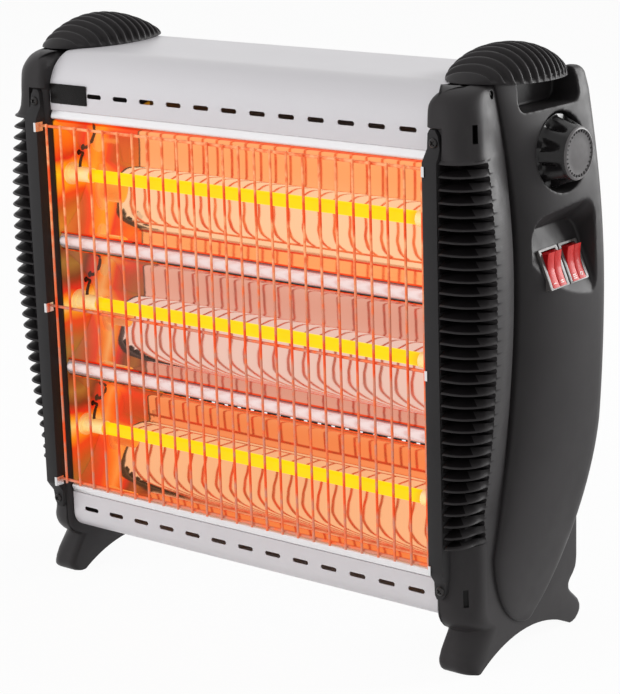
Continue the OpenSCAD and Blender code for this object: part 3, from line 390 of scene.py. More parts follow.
def make(name, part, materials, body=ROOT, stands_for=(), angle=35, face_materials=None):
    """A piece of the heater, with its looks, its body and the nodes it stands for."""
    obj = mesh_object(name, part)
    for material in materials if isinstance(materials, list) else [materials]:
        obj.data.materials.append(material)
    if face_materials is not None:
        obj.data.polygons.foreach_set("material_index", face_materials)
    finish_mesh(obj, angle)
    obj.data.validate()
    settle(obj, body, stands_for)
    return obj


def settle(obj, body, stands_for):
    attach(obj, body)
    if stands_for:
        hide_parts(*stands_for)


def mirrored(verts, faces):
    return [(-x, y, z) for x, y, z in verts], [tuple(reversed(f)) for f in faces]


def loft(rings):
    """Vertices and faces of a closed skin through rings of equal length."""
    n = len(rings[0])
    verts = [v for ring in rings for v in ring]
    faces = []
    for i in range(len(rings) - 1):
        for j in range(n):
            k = (j + 1) % n
            faces.append((i * n + j, i * n + k, (i + 1) * n + k, (i + 1) * n + j))
    faces.append(tuple(range(n - 1, -1, -1)))
    faces.append(tuple((len(rings) - 1) * n + j for j in range(n)))
    return verts, faces


def joined(parts):
    verts, faces = [], []
    for v, f in parts:
        base = len(verts)
        verts += list(v)
        faces += [tuple(i + base for i in face) for face in f]
    return verts, faces


def turns(count):
    return [2 * pi * j / count for j in range(count)]


def lathe(profile, center, axis, segments):
    """Solid of revolution: profile is [(radius, height)], axis a unit vector."""
    axis = Vector(axis).normalized()
    side = axis.orthogonal().normalized()
    other = axis.cross(side)
    rings = []
    for radius, height in profile:
        rings.append([tuple(Vector(center) + axis * height
                            + (side * cos(a) + other * sin(a)) * max(radius, 1e-4))
                      for a in turns(segments)])
    return loft(rings)


def spline(points, steps):
    out = []
    pts = [Vector(p) for p in points]
    for i in range(len(pts) - 1):
        a, b, c, d = pts[max(i - 1, 0)], pts[i], pts[i + 1], pts[min(i + 2, len(pts) - 1)]
        for s in range(steps):
            t = s / steps
            out.append(0.5 * (2 * b + (c - a) * t + (2 * a - 5 * b + 4 * c - d) * t * t
                              + (3 * b - a - 3 * c + d) * t ** 3))
    return out + [pts[-1]]


def tube(points, radius, sides):
    rings = []
    for i, p in enumerate(points):
        d = (points[min(i + 1, len(points) - 1)] - points[max(i - 1, 0)]).normalized()
        u = d.cross(Vector((0, 1, 0)) if abs(d.y) < 0.8 else Vector((1, 0, 0))).normalized()
        v = d.cross(u)
        rings.append([tuple(p + radius * (cos(a) * u + sin(a) * v)) for a in turns(sides)])
    return loft(rings)


def band(line, thickness, x0, x1):
    """Bent sheet: a line in (y, z) given its thickness and extruded along X."""
    lifted = []
    for i, (y, z) in enumerate(line):
        y0, z0 = line[max(i - 1, 0)]
        y1, z1 = line[min(i + 1, len(line) - 1)]
        length = hypot(y1 - y0, z1 - z0)
        lifted.append((y - thickness * (z1 - z0) / length, z + thickness * (y1 - y0) / length))
    outline = line + lifted[::-1]
    return loft([[(x, y, z) for y, z in outline] for x in (x0, x1)])


def box_part(low, high):
    verts = [(x, y, z) for x in (low[0], high[0]) for y in (low[1], high[1]) for z in (low[2], high[2])]
    faces = [(0, 1, 3, 2), (4, 6, 7, 5), (0, 4, 5, 1), (2, 3, 7, 6), (0, 2, 6, 4), (1, 5, 7, 3)]
    return verts, faces


def cleaned(data, merge=0.0, flat=False):
    """Merges vertices closer than merge, then joins flat faces or turns all faces outwards."""
    bm = bmesh.new()
    bm.from_mesh(data)
    if merge:
        bmesh.ops.remove_doubles(bm, verts=bm.verts, dist=merge)
    if flat:
        bmesh.ops.dissolve_limit(bm, angle_limit=radians(1), verts=bm.verts, edges=bm.edges)
    else:
        bmesh.ops.recalc_face_normals(bm, faces=bm.faces)
    bm.to_mesh(data)
    bm.free()


def outward(obj):
    cleaned(obj.data, 1e-6)


def loose(part, material):
    """A helper object that booleans use and that is removed afterwards."""
    obj = mesh_object("cutter", part)
    obj.data.materials.append(material)
    cleaned(obj.data)
    return obj


def modify(obj, kind, **values):
    mod = obj.modifiers.new(kind, kind)
    for key, value in values.items():
        setattr(mod, key, value)


def applied(obj):
    """Applies the object's modifiers to its mesh."""
    bpy.context.view_layer.update()
    data = bpy.data.meshes.new_from_object(obj.evaluated_get(bpy.context.evaluated_depsgraph_get()))
    obj.modifiers.clear()
    obj.data = data


def carve(obj, cutters, operation="DIFFERENCE"):
    for cutter in cutters:
        modify(obj, "BOOLEAN", operation=operation, solver="EXACT", object=cutter, material_mode="TRANSFER")
    applied(obj)
    for cutter in cutters:
        bpy.data.objects.remove(cutter)


def turned(part, center, axis, degrees):
    spin = Matrix.Rotation(radians(degrees), 3, Vector(axis))
    return [tuple(spin @ (Vector(v) - Vector(center)) + Vector(center)) for v in part[0]], part[1]


def sided(part, side):
    return part if side > 0 else mirrored(*part)


# ---- mirror troughs and tubes ----

SHEET = 0.6             # thickness of the mirror sheet
MIRROR_HALF = 181.1     # half length of the troughs and noses
LIP_BACK = 8            # a trough's back shows mirror up to this face from its lower lip
TUBE_R, TUBE_HALF, TUBE_STEPS = 5, 166, 40
COIL_R, COIL_WIRE, COIL_HALF = 1.3, 0.25, 160
COIL_STEP, COIL_TURN = 0.5, 0.55    # a coil's points: millimetres along and radians round
NOSE_R, NOSE_FRONT, NOSE_BACK = 6.25, 11.25, 21.25


def trough_line():
    """Mirror line from the upper lip round the back to the lower lip, in depth and height."""
    a, b, c = (7.0, 45.4), (25.0, 34.0), (37.5, 13.0)
    wall = []
    for i in range(25):
        t = i / 24
        wall.append(tuple((1 - t) ** 2 * a[k] + 2 * t * (1 - t) * b[k] + t * t * c[k] for k in (0, 1)))
    rest = spline([(37.5, 13, 0), (40.6, 7, 0), (42, 0, 0), (41.4, -5, 0), (39.3, -10.5, 0), (35.7, -17.3, 0),
                   (31, -24.6, 0), (25.5, -31.5, 0), (19.5, -37.4, 0), (13.5, -42, 0), (9.8, -44.3, 0),
                   (7, -45.4, 0)], 5)
    return wall + [(p.x, p.y) for p in rest[1:]]


for level, (node_name, z) in enumerate(zip(("lower", "middle", "upper"), TROUGH_Z)):
    line = [(y, z + h) for y, h in trough_line()]
    part = band(line, SHEET, -MIRROR_HALF, MIRROR_HALF)
    steps = len(line) - 1
    shade = [0 if j < steps or 0 < j % steps < LIP_BACK else 1 for j in range(len(part[1]))]
    make("trough_" + node_name, part, [trough_mats[level], sheet_grey],
         stands_for=["reflector_" + node_name], angle=40, face_materials=shade)
    xs = [-TUBE_HALF + 2 * TUBE_HALF * i / TUBE_STEPS for i in range(TUBE_STEPS + 1)]
    verts, faces = loft([[(x, TUBE_Y + TUBE_R * cos(a), z + TUBE_R * sin(a))
                          for a in turns(TUBE_STEPS)] for x in xs])
    lamp_tube = make("tube_" + node_name, (verts, [f[::-1] for f in faces]), quartz,
                     stands_for=["quartz_tube_" + node_name], angle=60)
    coil = [Vector((COIL_STEP * i - COIL_HALF, TUBE_Y + COIL_R * cos(COIL_TURN * i),
                    z + COIL_R * sin(COIL_TURN * i)))
            for i in range(int(2 * COIL_HALF / COIL_STEP) + 1)]
    lamp_coil = make("coil_" + node_name, tube(coil, COIL_WIRE, 6), filament,
                     stands_for=["filament_" + node_name], angle=90)
    lamp_tube.visible_glossy = lamp_coil.visible_glossy = False

for node_name, z in zip(("lower", "upper"), NOSE_Z):
    arc = [pi * i / 36 for i in range(37)]
    line = [(NOSE_BACK, z + NOSE_R)]
    line += [(NOSE_FRONT - NOSE_R * sin(a), z + NOSE_R * cos(a)) for a in arc]
    line += [(NOSE_BACK, z - NOSE_R)]
    make("nose_" + node_name, band(line, SHEET, -MIRROR_HALF, MIRROR_HALF), [nose_mat, sheet_grey],
         stands_for=["divider_" + node_name], angle=50)


# ---- trims, clips and pieces with softened edges ----

TRIM_SHEET, TRIM_GAP = 0.7, 1.3
# A trim's section from its edge on the shell to its flange: (depth, height off the opening)
trim_line = [(5.7, 7.3), (5.1, 6.7), (4.7, 5.6), (4.2, 4.6), (3.6, 3.2), (3.4, 1.9), (3.6, 0.9),
             (4.3, 0.4), (6, 0.3), (14, 0.3)]
for word, line in (("top", [(y, OPEN_HIGH + z) for y, z in trim_line]),
                   ("bottom", [(y, OPEN_LOW - z) for y, z in trim_line[::-1]])):
    outward(make("trim_" + word, band(line, TRIM_SHEET, TRIM_GAP - HALF, HALF - TRIM_GAP), trim_metal,
                 stands_for=[word + "_trim"], angle=60))


def softened(name, node, material, width):
    """A node's own shape with its edges rounded off."""
    obj = placed(name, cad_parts[node].data.copy())
    cleaned(obj.data, 2e-6, True)
    modify(obj, "BEVEL", width=width / 1000, segments=3, angle_limit=radians(40))
    applied(obj)
    dress(obj.data, material)
    finish_mesh(obj, 50)
    settle(obj, ROOT, [node])
    return obj


for side_word in ("right", "left"):
    strip = softened("strip_" + side_word, "guard_strip_" + side_word, strip_black, 0.9)
    strip.visible_glossy = False
softened("badge", "badge_plate", badge_black, 0.25)
for end_word in ("front", "rear"):
    softened("bezel_" + end_word, "switch_housing_" + end_word, bezel, 0.35)


def screw_heads(name, places, radius, height, node):
    """Pan heads with a cross recess: each place is the middle of a seat and the way its head faces."""
    heads, bars = [], []
    for center, axis in places:
        heads.append(lathe([(0.93 * radius, 0), (radius, 0.12 * height), (radius, 0.4 * height),
                            (0.93 * radius, 0.66 * height), (0.76 * radius, 0.86 * height),
                            (0.45 * radius, 0.97 * height), (0.05, height)], center, axis, 28))
        axis = Vector(axis)
        u = axis.orthogonal().normalized()
        v = axis.cross(u)
        for long, short in ((u, v), (v, u)):
            verts = [tuple(Vector(center) + long * i + short * j + axis * k)
                     for i in (-0.62 * radius, 0.62 * radius)
                     for j in (-0.15 * radius, 0.15 * radius)
                     for k in (0.35 * height, 1.4 * height)]
            bars.append((verts, box_part((0, 0, 0), (1, 1, 1))[1]))
    obj = make(name, joined(heads), screw_black, stands_for=[node], angle=50)
    outward(obj)
    carve(obj, [loose(bar, screw_black) for bar in bars])
    finish_mesh(obj, 40)


CAP_SCREW = (OUT - 1.6, 34.0, 422.5)
STRIP_SCREW_X, STRIP_SCREW_Y, STRIP_SCREW_Z = 190.6, -4.05, (66, 393)
screw_heads("strip_screw_heads",
            [((side * STRIP_SCREW_X, STRIP_SCREW_Y, z), (0, -1, 0))
             for side in (1, -1) for z in STRIP_SCREW_Z],
            3.3, 1.9, "guard_screws")
screw_heads("cap_screw_heads", [((side * CAP_SCREW[0], *CAP_SCREW[1:]), (side, 0, 0)) for side in (1, -1)],
            2.4, 1.5, "cap_screws")

CLIP_Z = (82.5, 228.0, 373.5)
CLIP_HALF = 3.6
CLIP_LINE = [(184.5, -3), (184.5, -10.9), (186.8, -10.9), (186.8, -10.3), (185.1, -10.3), (185.1, -3)]
clip_parts = []
for side in (1, -1):
    for z in CLIP_Z:
        clip = loft([[(x, y, z + h) for x, y in CLIP_LINE] for h in (-CLIP_HALF, CLIP_HALF)])
        clip_parts.append(sided(clip, side))
outward(make("wire_clips", joined(clip_parts), clip_metal, stands_for=["guard_clips"],
             angle=30))


# ---- side frames with their louvred columns ----

def cover_front(z):
    if z >= 84:
        span, deep = (146, 23.5) if z > 284 else (200, 29.0)
        return 61.5 - deep * ((z - 284) / span) ** 2
    return 75 - 42.5 * sqrt(max(1 - ((84 - z) / 61) ** 2, 0))


def cover_rear(z):
    if z >= 169:
        return 156 - 4 * (max(z - 265, 0) / 165) ** 2
    return 75 + 81 * max(1 - ((169 - max(z, 23)) / 146) ** 1.7, 0) ** 0.75


def cover_height(z):
    return COVER_BULGE * (1 - ((z - 265) / (189 if z > 265 else 242)) ** 2)


def belly_x(z):
    return BELLY_X - (22.0 * ((285 - z) / 179.5) ** 2 if z < 285 else 8.7 * ((z - 285) / 92) ** 2)


def belly_y(z):
    return 2 * ((z - 285) / (179.5 if z < 285 else 92)) ** 2 - BELLY_PROUD


def louvre_end(z):
    return cover_front(z) - 22.15 - 1.5 * (belly_x(z) - OUT)


# Front and rear edges of a frame in side view, from the soles of its feet up: (y, z)
FRONT_EDGE = [(9, 0), (5.5, 0.8), (2.8, 2.6), (1.0, 6), (0.6, 10), (3.4, 16), (7, 21), (12.6, 28.2),
              (13.3, 29.6), (12.6, 31), (9.5, 33), (6.2, 35.2), (2.8, 39), (0.9, 43), (0, 48)]
REAR_EDGE = [(143, 0), (148.5, 0.8), (152.6, 3.6), (154.6, 7), (154.3, 10.5), (151.8, 15), (146.4, 20),
             (141, 24.5), (138.6, 28), (138.4, 32), (140.6, 35.5), (145, 39), (148.6, 43.5), (150, 50)]
BELLY_LOW, BELLY_HIGH = 99.2, 381.5
BELLY_STEP = 197.1      # where the belly's inner edge steps back to the frame's front
BELLY_TURN = 13.0       # depth where its round corner ends
SHOULDER_Z = [381.5, 384, 388, 394, 402, 410, 418, 425, 430]
SHOULDER = [1.0, 0.88, 0.78, 0.71, 0.66, 0.56, 0.38, 0.16, 0.0]
TAB_TOP = 402.5
FOOT_TOP = 16.0
FOOT_MIDDLE = 75.5
ARCH_R = 122.4
FLOOR_DEEP, FLOOR_NEAR = 198.0, 205.5


def edge_at(edge, z, top_r, direction):
    """Depth of a frame's edge at height z, with its rounded top corner."""
    if z > TOP - top_r:
        turn = top_r - sqrt(max(top_r ** 2 - (z - TOP + top_r) ** 2, 0))
        return edge[-1][0] + direction * turn
    return float(np.interp(z, [q[1] for q in edge], [q[0] for q in edge]))


def side_at(z, top_r):
    return top_r - sqrt(max(top_r ** 2 - max(z - TOP + top_r, 0) ** 2, 0))


def valley(z):
    """Depth of the hollow that runs down a column's corner."""
    low, high = np.interp(z, [46, 58], [0, 1]), np.interp(z, [396, 414], [1, 0])
    return 2.4 * float(low if z < 200 else high)


def corner(z, front, middle):
    """Outer front corner of a column: start across, front, reach across, end in depth."""
    turn = min(COLUMN_R, 0.65 * (middle - front))
    plain = (OUT - side_at(z, 5) - float(np.interp(z, [0, 35], [12, COLUMN_R])), front, OUT - side_at(z, 5),
             front + turn)
    if z > BELLY_HIGH:
        share = float(np.interp(z, SHOULDER_Z, SHOULDER))
        proud = (204.0, -4.8, OUT + 9.3, BELLY_TURN)
        return tuple(share * a + (1 - share) * b for a, b in zip(proud, plain))
    if z >= BELLY_LOW:
        reach = max(belly_x(z), 210.1)
        return BELLY_STEP + 0.4 * max(reach - OUT, 0), belly_y(z), reach, BELLY_TURN
    return plain


def swept(x, y, across, deep, angles):
    """Points of an arc about (x, y), with each angle in degrees from its y axis."""
    return [(x + across * sin(radians(a)), y + deep * cos(radians(a))) for a in angles]


def front_points(z, middle, depth=0.0, cut=None):
    """Half a frame's section, from its outer face round the front to its inner face.

    depth sinks the belly's outline, and cut opens a louvre that ends at that depth in y.
    """
    front = edge_at(FRONT_EDGE, z, 17, 1)
    inner = HALF + side_at(z, 14)
    outer = OUT - side_at(z, 5)
    start, proud, reach, turn = corner(z, front, middle)
    louvred = BELLY_LOW <= z <= BELLY_HIGH
    seam = min(cover_front(z), middle - 1) - 0.3 if z > 24 else turn + 0.7 * (middle - turn)
    end = louvre_end(z) + 2 if louvred else turn + 0.25 * (seam - turn)
    if cut is not None:
        end = cut

    def side(y):
        if y >= turn:
            bulged = outer + (reach - outer) * (1 - min((y - turn) / (seam - turn), 1) ** 2)
            upright = OUT - COLUMN_R + sqrt(COLUMN_R ** 2 - max(COLUMN_R - y, 0) ** 2)
            return max(bulged, upright) if louvred else bulged
        return start + (reach - start) * sqrt(max(1 - ((turn - y) / (turn - proud)) ** 2, 0))

    def sunk(x, y, a):
        """The outline's point moved in along its own slope, or to the louvre's floor."""
        if cut is not None:
            return FLOOR_DEEP if y < 3.5 else max(FLOOR_DEEP, min(FLOOR_NEAR, x - 2.5)), min(y, end)
        near = depth * min(max((end + 1 - y) / 15, 0), 1)
        if not louvred:
            near = valley(z) * exp(-((a - 48) / 17) ** 2)
        return x - near * sin(radians(a)), y + near * cos(radians(a))

    points = [(outer, middle + (seam - middle) * f) for f in (0, 0.45, 0.9)]
    points += [(side(seam + (end - seam) * i / 6), seam + (end - seam) * i / 6) for i in range(7)]
    points.append(sunk(side(end - 0.1), end - 0.1, 90))
    for f in (0.4, 0.75, 1):
        y = end + (turn - end) * f if end > turn else end - 0.2 - 0.2 * f
        points.append(sunk(side(y), y, 90))
    for a in range(81, -1, -9):
        x = start + (reach - start) * sin(radians(a))
        y = turn - (turn - proud) * cos(radians(a))
        points.append(sunk(x, y, a))
    step = BELLY_STEP if louvred else min(BELLY_STEP, start - 2) if z > BELLY_HIGH else start - 4
    flat = (start + step) / 2
    points.append(sunk(flat, proud, 0) if cut is None else (FLOOR_DEEP - 0.1, proud))
    points.append((step, proud + (depth if louvred else 0)))
    if z > BELLY_HIGH:
        front += (proud - front) * float(np.interp(z, [TAB_TOP - 0.7, TAB_TOP + 0.7], [0, 1]))
    points.append((step - 0.2, front))
    small = min(5.0, 0.4 * (middle - front))
    points += [(step - 0.2 - (step - 0.2 - inner - small) * f, front) for f in (0.35, 0.7)]
    points += swept(inner + small, front + small, -small, -small, range(0, 91, 18))
    points += [(inner, front + small + (middle - front - small) * f) for f in (0.4, 0.8)]
    return points


def rear_points(z, middle):
    rear = edge_at(REAR_EDGE, z, 20, -1)
    inner = HALF + side_at(z, 14)
    outer = OUT - side_at(z, 5)
    small, large = min(3.0, 0.3 * (rear - middle)), min(6.0, 0.5 * (rear - middle))
    points = [(inner, middle), (inner, (middle + rear - small) / 2)]
    points += swept(inner + small, rear - small, -small, small, (90, 60, 30, 0))
    points.append(((inner + outer) / 2, rear))
    points += swept(outer - large, rear - large, large, large, range(0, 91, 15))
    points.append((outer, (middle + rear - large) / 2))
    return points


def frame_levels():
    """Sections over the feet as (height, depth, half width of a louvre's end or None)."""
    low = [16, 18, 20.5, 23, 25.5, 27.5, 28.8, 29.6, 30.4, 31.2, 32.2, 33.5, 35, 37, 39, 41, 43, 45.5, 48,
           52, 56, 60, 66, 72, 78, 84, 90, 95, 98.4]
    high = [381.6, 384, 388, 392, 396, 400, 401.8, 403.2, 405, 408, 412, 415, 418, 420.5, 423, 425, 426.5,
            427.8, 428.8, 429.5, 429.9, 430]
    under_rib = ((2.75, 0.2), (3.5, 1.4), (4.6, 4.1), (5.8, 6.8))
    under_last = ((2.8, 0.2), (3.6, 1.6))
    levels = [(z, 0, None) for z in low]
    levels += [(99.2, 1.6, None), (99.5, 0.3, None), (99.9, 0, None), (100.6, 0.5, None), (101.6, 3.2, None),
               (102.6, 6.4, None)]
    for i in range(LOUVRES):
        z = LOUVRE_Z0 + i * LOUVRE_PITCH
        levels += [(z - 2.15, 9, None), (z - 2.0, 0, 0.8), (z - 1.2, 0, 1.8), (z, 0, 2.15), (z + 1.2, 0, 1.8),
                   (z + 2.0, 0, 0.8), (z + 2.15, 0.35, None), (z + 2.45, 0, None)]
        levels += [(z + rise, sink, None) for rise, sink in (under_rib if i < LOUVRES - 1 else under_last)]
    return levels + [(z, 0, None) for z in high]


def frame_mesh():
    verts, faces, shade = [], [], []

    def ring(points, z):
        base = len(verts)
        verts.extend((x, y, z) for x, y in points)
        return list(range(base, base + len(points)))

    def skin(low, high):
        n = len(low)
        for j in range(n):
            k = (j + 1) % n
            faces.append((low[j], low[k], high[k], high[j]))

    rings = []
    for z, depth, half in frame_levels():
        cut = None if half is None else louvre_end(z) + half
        points = front_points(z, FOOT_MIDDLE, depth, cut)
        turn = len(points)
        rings.append(ring(points + rear_points(z, FOOT_MIDDLE), z))
    kinds = [2 if half is not None else int(depth > 1) for z, depth, half in frame_levels()]
    for i, (low, high) in enumerate(zip(rings, rings[1:])):
        skin(low, high)
        # Painted shade: faces inside the louvre slots and on the front part of the fins' sunk slopes take
        # slot 1, the near-black louvre material.
        dark_from = 10 if 2 in kinds[i:i + 2] else 17
        shade += [1 if kinds[i] and kinds[i + 1] and dark_from <= j < 26 else 0 for j in range(len(low))]
    faces.append(tuple(rings[-1]))
    first = rings[0]
    front_top, rear_top = first[:turn + 1], first[turn:] + first[:1]
    for z in (15.8, 15.5, 15, 14, 12.5, 10.5, 8.5, 6.5, 4.5, 3, 1.6, 0.8, 0.3, 0):
        reach = sqrt(ARCH_R ** 2 - (z + ARCH_R - FOOT_TOP) ** 2)
        front_low = ring(front_points(z, FOOT_MIDDLE - reach) + [(HALF, FOOT_MIDDLE - reach)], z)
        rear_low = ring(rear_points(z, FOOT_MIDDLE + reach) + [(OUT, FOOT_MIDDLE + reach)], z)
        skin(front_low, front_top)
        skin(rear_low, rear_top)
        front_top, rear_top = front_low, rear_low
    faces.append(tuple(front_top))
    faces.append(tuple(rear_top))
    return verts, faces, shade + [0] * (len(faces) - len(shade))


GRIP = ((199.0, 60.0, 405.5), (260.0, 133.0, 424.5))    # the recess's low and high corners
POCKET = 2.8            # room that a frame leaves round the recess's wall
SLOT_TURN = -38         # degrees by which the corner's two small slots face outwards

*frame_part, frame_shade = frame_mesh()
for side, word in SIDES:
    obj = make("frame_" + word, sided(frame_part, side), [charcoal, louvre_painted_shade],
               stands_for=["side_frame_" + word], angle=38, face_materials=frame_shade)
    outward(obj)
    cutters = [turned(box_part((208, 12, 392.5), (225, 16, 405.5)), (210, 14, 399), (0, 0, 1), SLOT_TURN),
               turned(box_part((203, 4, 52.5), (215, 8, 65.5)), (207, 6, 59), (0, 0, 1), SLOT_TURN),
               box_part((196.2, GRIP[0][1] - POCKET, GRIP[0][2] - POCKET),
                        (214, GRIP[1][1] + POCKET, GRIP[1][2] + POCKET)),
               lathe([(3.1, -0.1), (3.1, 8)], CAP_SCREW, (1, 0, 0), 24)]
    # The corner slots and the cap screw seat leave their faces in the near-black as painted shade; the grip
    # pocket stays charcoal.
    carve(obj, [loose(sided(part, side), ticks_and_painted_hole_shade if i != 2 else charcoal)
                for i, part in enumerate(cutters)])
    finish_mesh(obj, 38)


# ---- side covers ----

def rounded(low, high, radii, steps=8):
    """Outline in two coordinates, with its own radius at each corner from low left round."""
    corners = [(low[0], low[1]), (high[0], low[1]), (high[0], high[1]), (low[0], high[1])]
    out = []
    for i, ((y, z), r) in enumerate(zip(corners, radii)):
        y += r if i in (0, 3) else -r
        z += r if i < 2 else -r
        angles = [radians(180 + 90 * i + 90 * k / steps) for k in range(steps + 1)]
        out += [(y + r * cos(a), z + r * sin(a)) for a in angles]
    return out


def prism(outline, x0, x1, far=None):
    """Solid along X between two outlines drawn in (y, z)."""
    return loft([[(x0, y, z) for y, z in outline], [(x1, y, z) for y, z in (far or outline)]])


def on_switch_plane(part, along=0.0):
    """Moves a part from the plane of the switches, X out of it, to its place in the cover."""
    c, s = cos(radians(SWITCH_TILT)), sin(radians(SWITCH_TILT))
    return [(SWITCH_AT[0] + x * c - z * s, SWITCH_AT[1] + along + y, SWITCH_AT[2] + x * s + z * c)
            for x, y, z in part[0]], part[1]


def cover_part():
    rings = []
    levels = [23.6 + 60.4 * (1 - cos(radians(4.5 * i))) for i in range(21)]
    levels += [84 + 8 * i for i in range(1, 42)] + [424, 426.5, 428.2, 429.3, 430]
    for z in levels:
        top = side_at(z, 4)
        front, rear = cover_front(z) + 0.5 * top, cover_rear(z) - side_at(z, 14)
        height = max(cover_height(z) - top, 1)
        peak = front + 0.82 * (rear - front)
        line = [(OUT - 2.5, front), (OUT, front)]
        line += [(OUT + 1.5 + height * sin(a), peak - (peak - front) * cos(a))
                 for a in (radians(3.6 * i) for i in range(26))]
        line += [(OUT + 1.5 + height * sin(a) ** (2 / 3), peak + (rear - peak) * cos(a) ** (2 / 3))
                 for a in (radians(90 - 7.5 * i) for i in range(1, 13))]
        line += [(OUT, rear), (OUT - 2.5, rear)]
        rings.append([(x, y, z) for x, y in line])
    return loft(rings)


def remeshed(obj, voxel, smooth, keep):
    """Fuses the object into one even skin, softens its edges and thins its faces."""
    modify(obj, "REMESH", mode="VOXEL", voxel_size=voxel / 1000)
    modify(obj, "SMOOTH", factor=0.5, iterations=smooth)
    modify(obj, "DECIMATE", ratio=keep)
    applied(obj)


WALL_X = (196.5, 215)   # how far the recess's wall reaches in and out
CUT_X = 262             # outside the cover's widest place
WELL_R, KNOB_SEAT = 29, 216     # the knob's well in the cover: its radius and its floor
grip_outline = rounded(GRIP[0][1:], GRIP[1][1:], [8, 8, 3, 3])
grip_wall = rounded([v - 2.5 for v in GRIP[0][1:]], [v + 2.5 for v in GRIP[1][1:]], [10, 10, 4, 4])
scoop_floor = rounded((-34, -31), (31, 31), [16, 16, 10, 10], 10)
scoop_mouth = rounded((-35.5, -31), (33, 42), [16, 16, 12, 12], 10)
for side, word in SIDES:
    obj = make("cover_" + word, sided(cover_part(), side), charcoal,
               stands_for=["side_cover_" + word], angle=40)
    outward(obj)
    carve(obj, [loose(sided(prism(grip_wall, *WALL_X), side), charcoal)], "UNION")
    cutters = [prism(grip_outline, GRIP[0][0], CUT_X),
               prism(rounded((60.0, 415), (131.5, 434), [3] * 4), OUT + 0.4, CUT_X)]
    if side > 0:
        cutters.append(lathe([(WELL_R, 0), (WELL_R, 30)], (KNOB_SEAT, CONTROL_Y, KNOB_Z), (1, 0, 0), 96))
        cutters.append(on_switch_plane(prism(scoop_floor, 0, 30, scoop_mouth)))
        cutters += [on_switch_plane(prism(rounded((-9.3, -13.5), (9.3, 13.5), [0.5] * 4, 2), -9, 1), shift)
                    for shift in (-MODULE_PITCH / 2, MODULE_PITCH / 2)]
    carve(obj, [loose(sided(part, side), charcoal) for part in cutters])
    remeshed(obj, 0.85, 5, 0.3)
    obj.data.materials.clear()
    obj.data.materials.append(charcoal)
    finish_mesh(obj, 180)


# ---- ribbed caps ----

CAP_Y = (22.0, 79.0, 142.0)      # front end, crest and rear end
CAP_MIDDLE, CAP_IN, CAP_OUT, CAP_RISE = 196.5, 36.0, 31.0, 22.0


def cap_part():
    """Ribbed dome whose outer rim hangs over the mouth of the grip recess."""
    first, pitch, ribs = 28.7, 8.2, 13
    shape = ((0, 1), (0.35, 0.62), (0.8, 0.25), (1.4, 0.05), (2.3, 0), (3.2, 0.05), (3.8, 0.25), (4.25, 0.62),
             (4.6, 1), (5.2, 1.12), (6.4, 1.15), (7.6, 1.12))
    front, crest, rear = CAP_Y
    levels = [(front + 0.05 + 6.0 * (1 - cos(radians(90 * i / 12))), 0) for i in range(13)]
    for k in range(ribs):
        levels += [(first + pitch * k + y, 2.7 * deep if k or y > 1.4 else 0) for y, deep in shape]
    levels += [(first + pitch * ribs + 0.4, 0.8), (first + pitch * ribs + 1, 0)]
    start = levels[-1][0]
    levels += [(start + (rear - 0.1 - start) * sin(radians(90 * i / 8)), 0) for i in range(1, 9)]
    rings = []
    for y, deep in levels:
        share = max(1 - ((y - crest) / (crest - front if y < crest else rear - crest)) ** 2, 1e-4)
        high, wide = CAP_RISE * share, sqrt(share)
        drop = float(np.interp(y, [front, 45, 60, rear - 6, rear], [0, 1.5, 3.0, 6.5, 4.5]))
        ring = [(CAP_MIDDLE - CAP_IN * wide, y, TOP + 0.3)]
        for i in range(49):
            a = radians(180 - 180 * i / 48)
            low, reach = (0, CAP_IN) if a > pi / 2 else (drop, CAP_OUT)
            lift = (high + low) * sin(a)
            sunk = deep * min(max((lift - 0.8) / 3.5, 0), 1)
            ring.append((CAP_MIDDLE + max(reach * wide - sunk, 0.3) * cos(a), y,
                         TOP + 0.5 - low + max(lift - sunk * sin(a), 0)))
        rim = CAP_MIDDLE + max(CAP_OUT * wide - 1.8, 0.2)
        ring += [(rim, y, TOP + 0.4 - drop), (rim, y, TOP + 0.3)]
        rings.append(ring)
    return loft(rings)


for side, word in SIDES:
    outward(make("cap_" + word, sided(cap_part(), side), cap_shaded_black,
                 stands_for=["grip_cap_" + word], angle=60))


# ---- knob ----

KNOB_GAP, FLUTE_DEPTH = 3, 4.2


def knob_part():
    """Skirted knob along its axis: rings from the skirt's underside over the flutes to the face."""
    outline = [(7, 0.2), (26.4, 0.2), (26.9, 0.8), (27, 1.4), (26.8, 2.2), (26.2, 2.6), (25.8, 3.4),
               (25.3, 4.6), (24.6, 6.4), (23.9, 8.4), (23.1, 10.4), (22.3, 12.4), (21.5, 14.4), (20.8, 16.2),
               (20.2, 17.6), (19.9, 18.6), (19.6, 19.6), (19.2, 20.6), (18.6, 21.4), (18.0, 21.8),
               (17.5, 21.9), (17.1, 21.6), (16.9, 21.2), (16.4, 21.1), (10, 21.35), (4, 21.5), (0.05, 21.5)]
    flutes, around = 9, 180
    rings = []
    for r, h in outline:
        deep = FLUTE_DEPTH * float(np.interp(h, [2.4, 2.9, 5, 9, 13.5, 17.5], [0, 0.9, 1, 0.8, 0.35, 0]))
        ring = []
        for a in turns(around):
            hollow = max(cos(flutes * a), -0.25)
            near = r - (deep * (hollow + 0.25) / 1.25 if r > 19 else 0)
            ring.append((KNOB_SEAT + KNOB_GAP + h, CONTROL_Y + near * cos(a), KNOB_Z + near * sin(a)))
        rings.append(ring)
    verts, faces = loft(rings)
    zones = [0 if i < 17 else (1 if i < 22 else 2) for i in range(len(outline) - 1)]
    return verts, faces, [zone for zone in zones for _ in range(around)] + [0, 2]


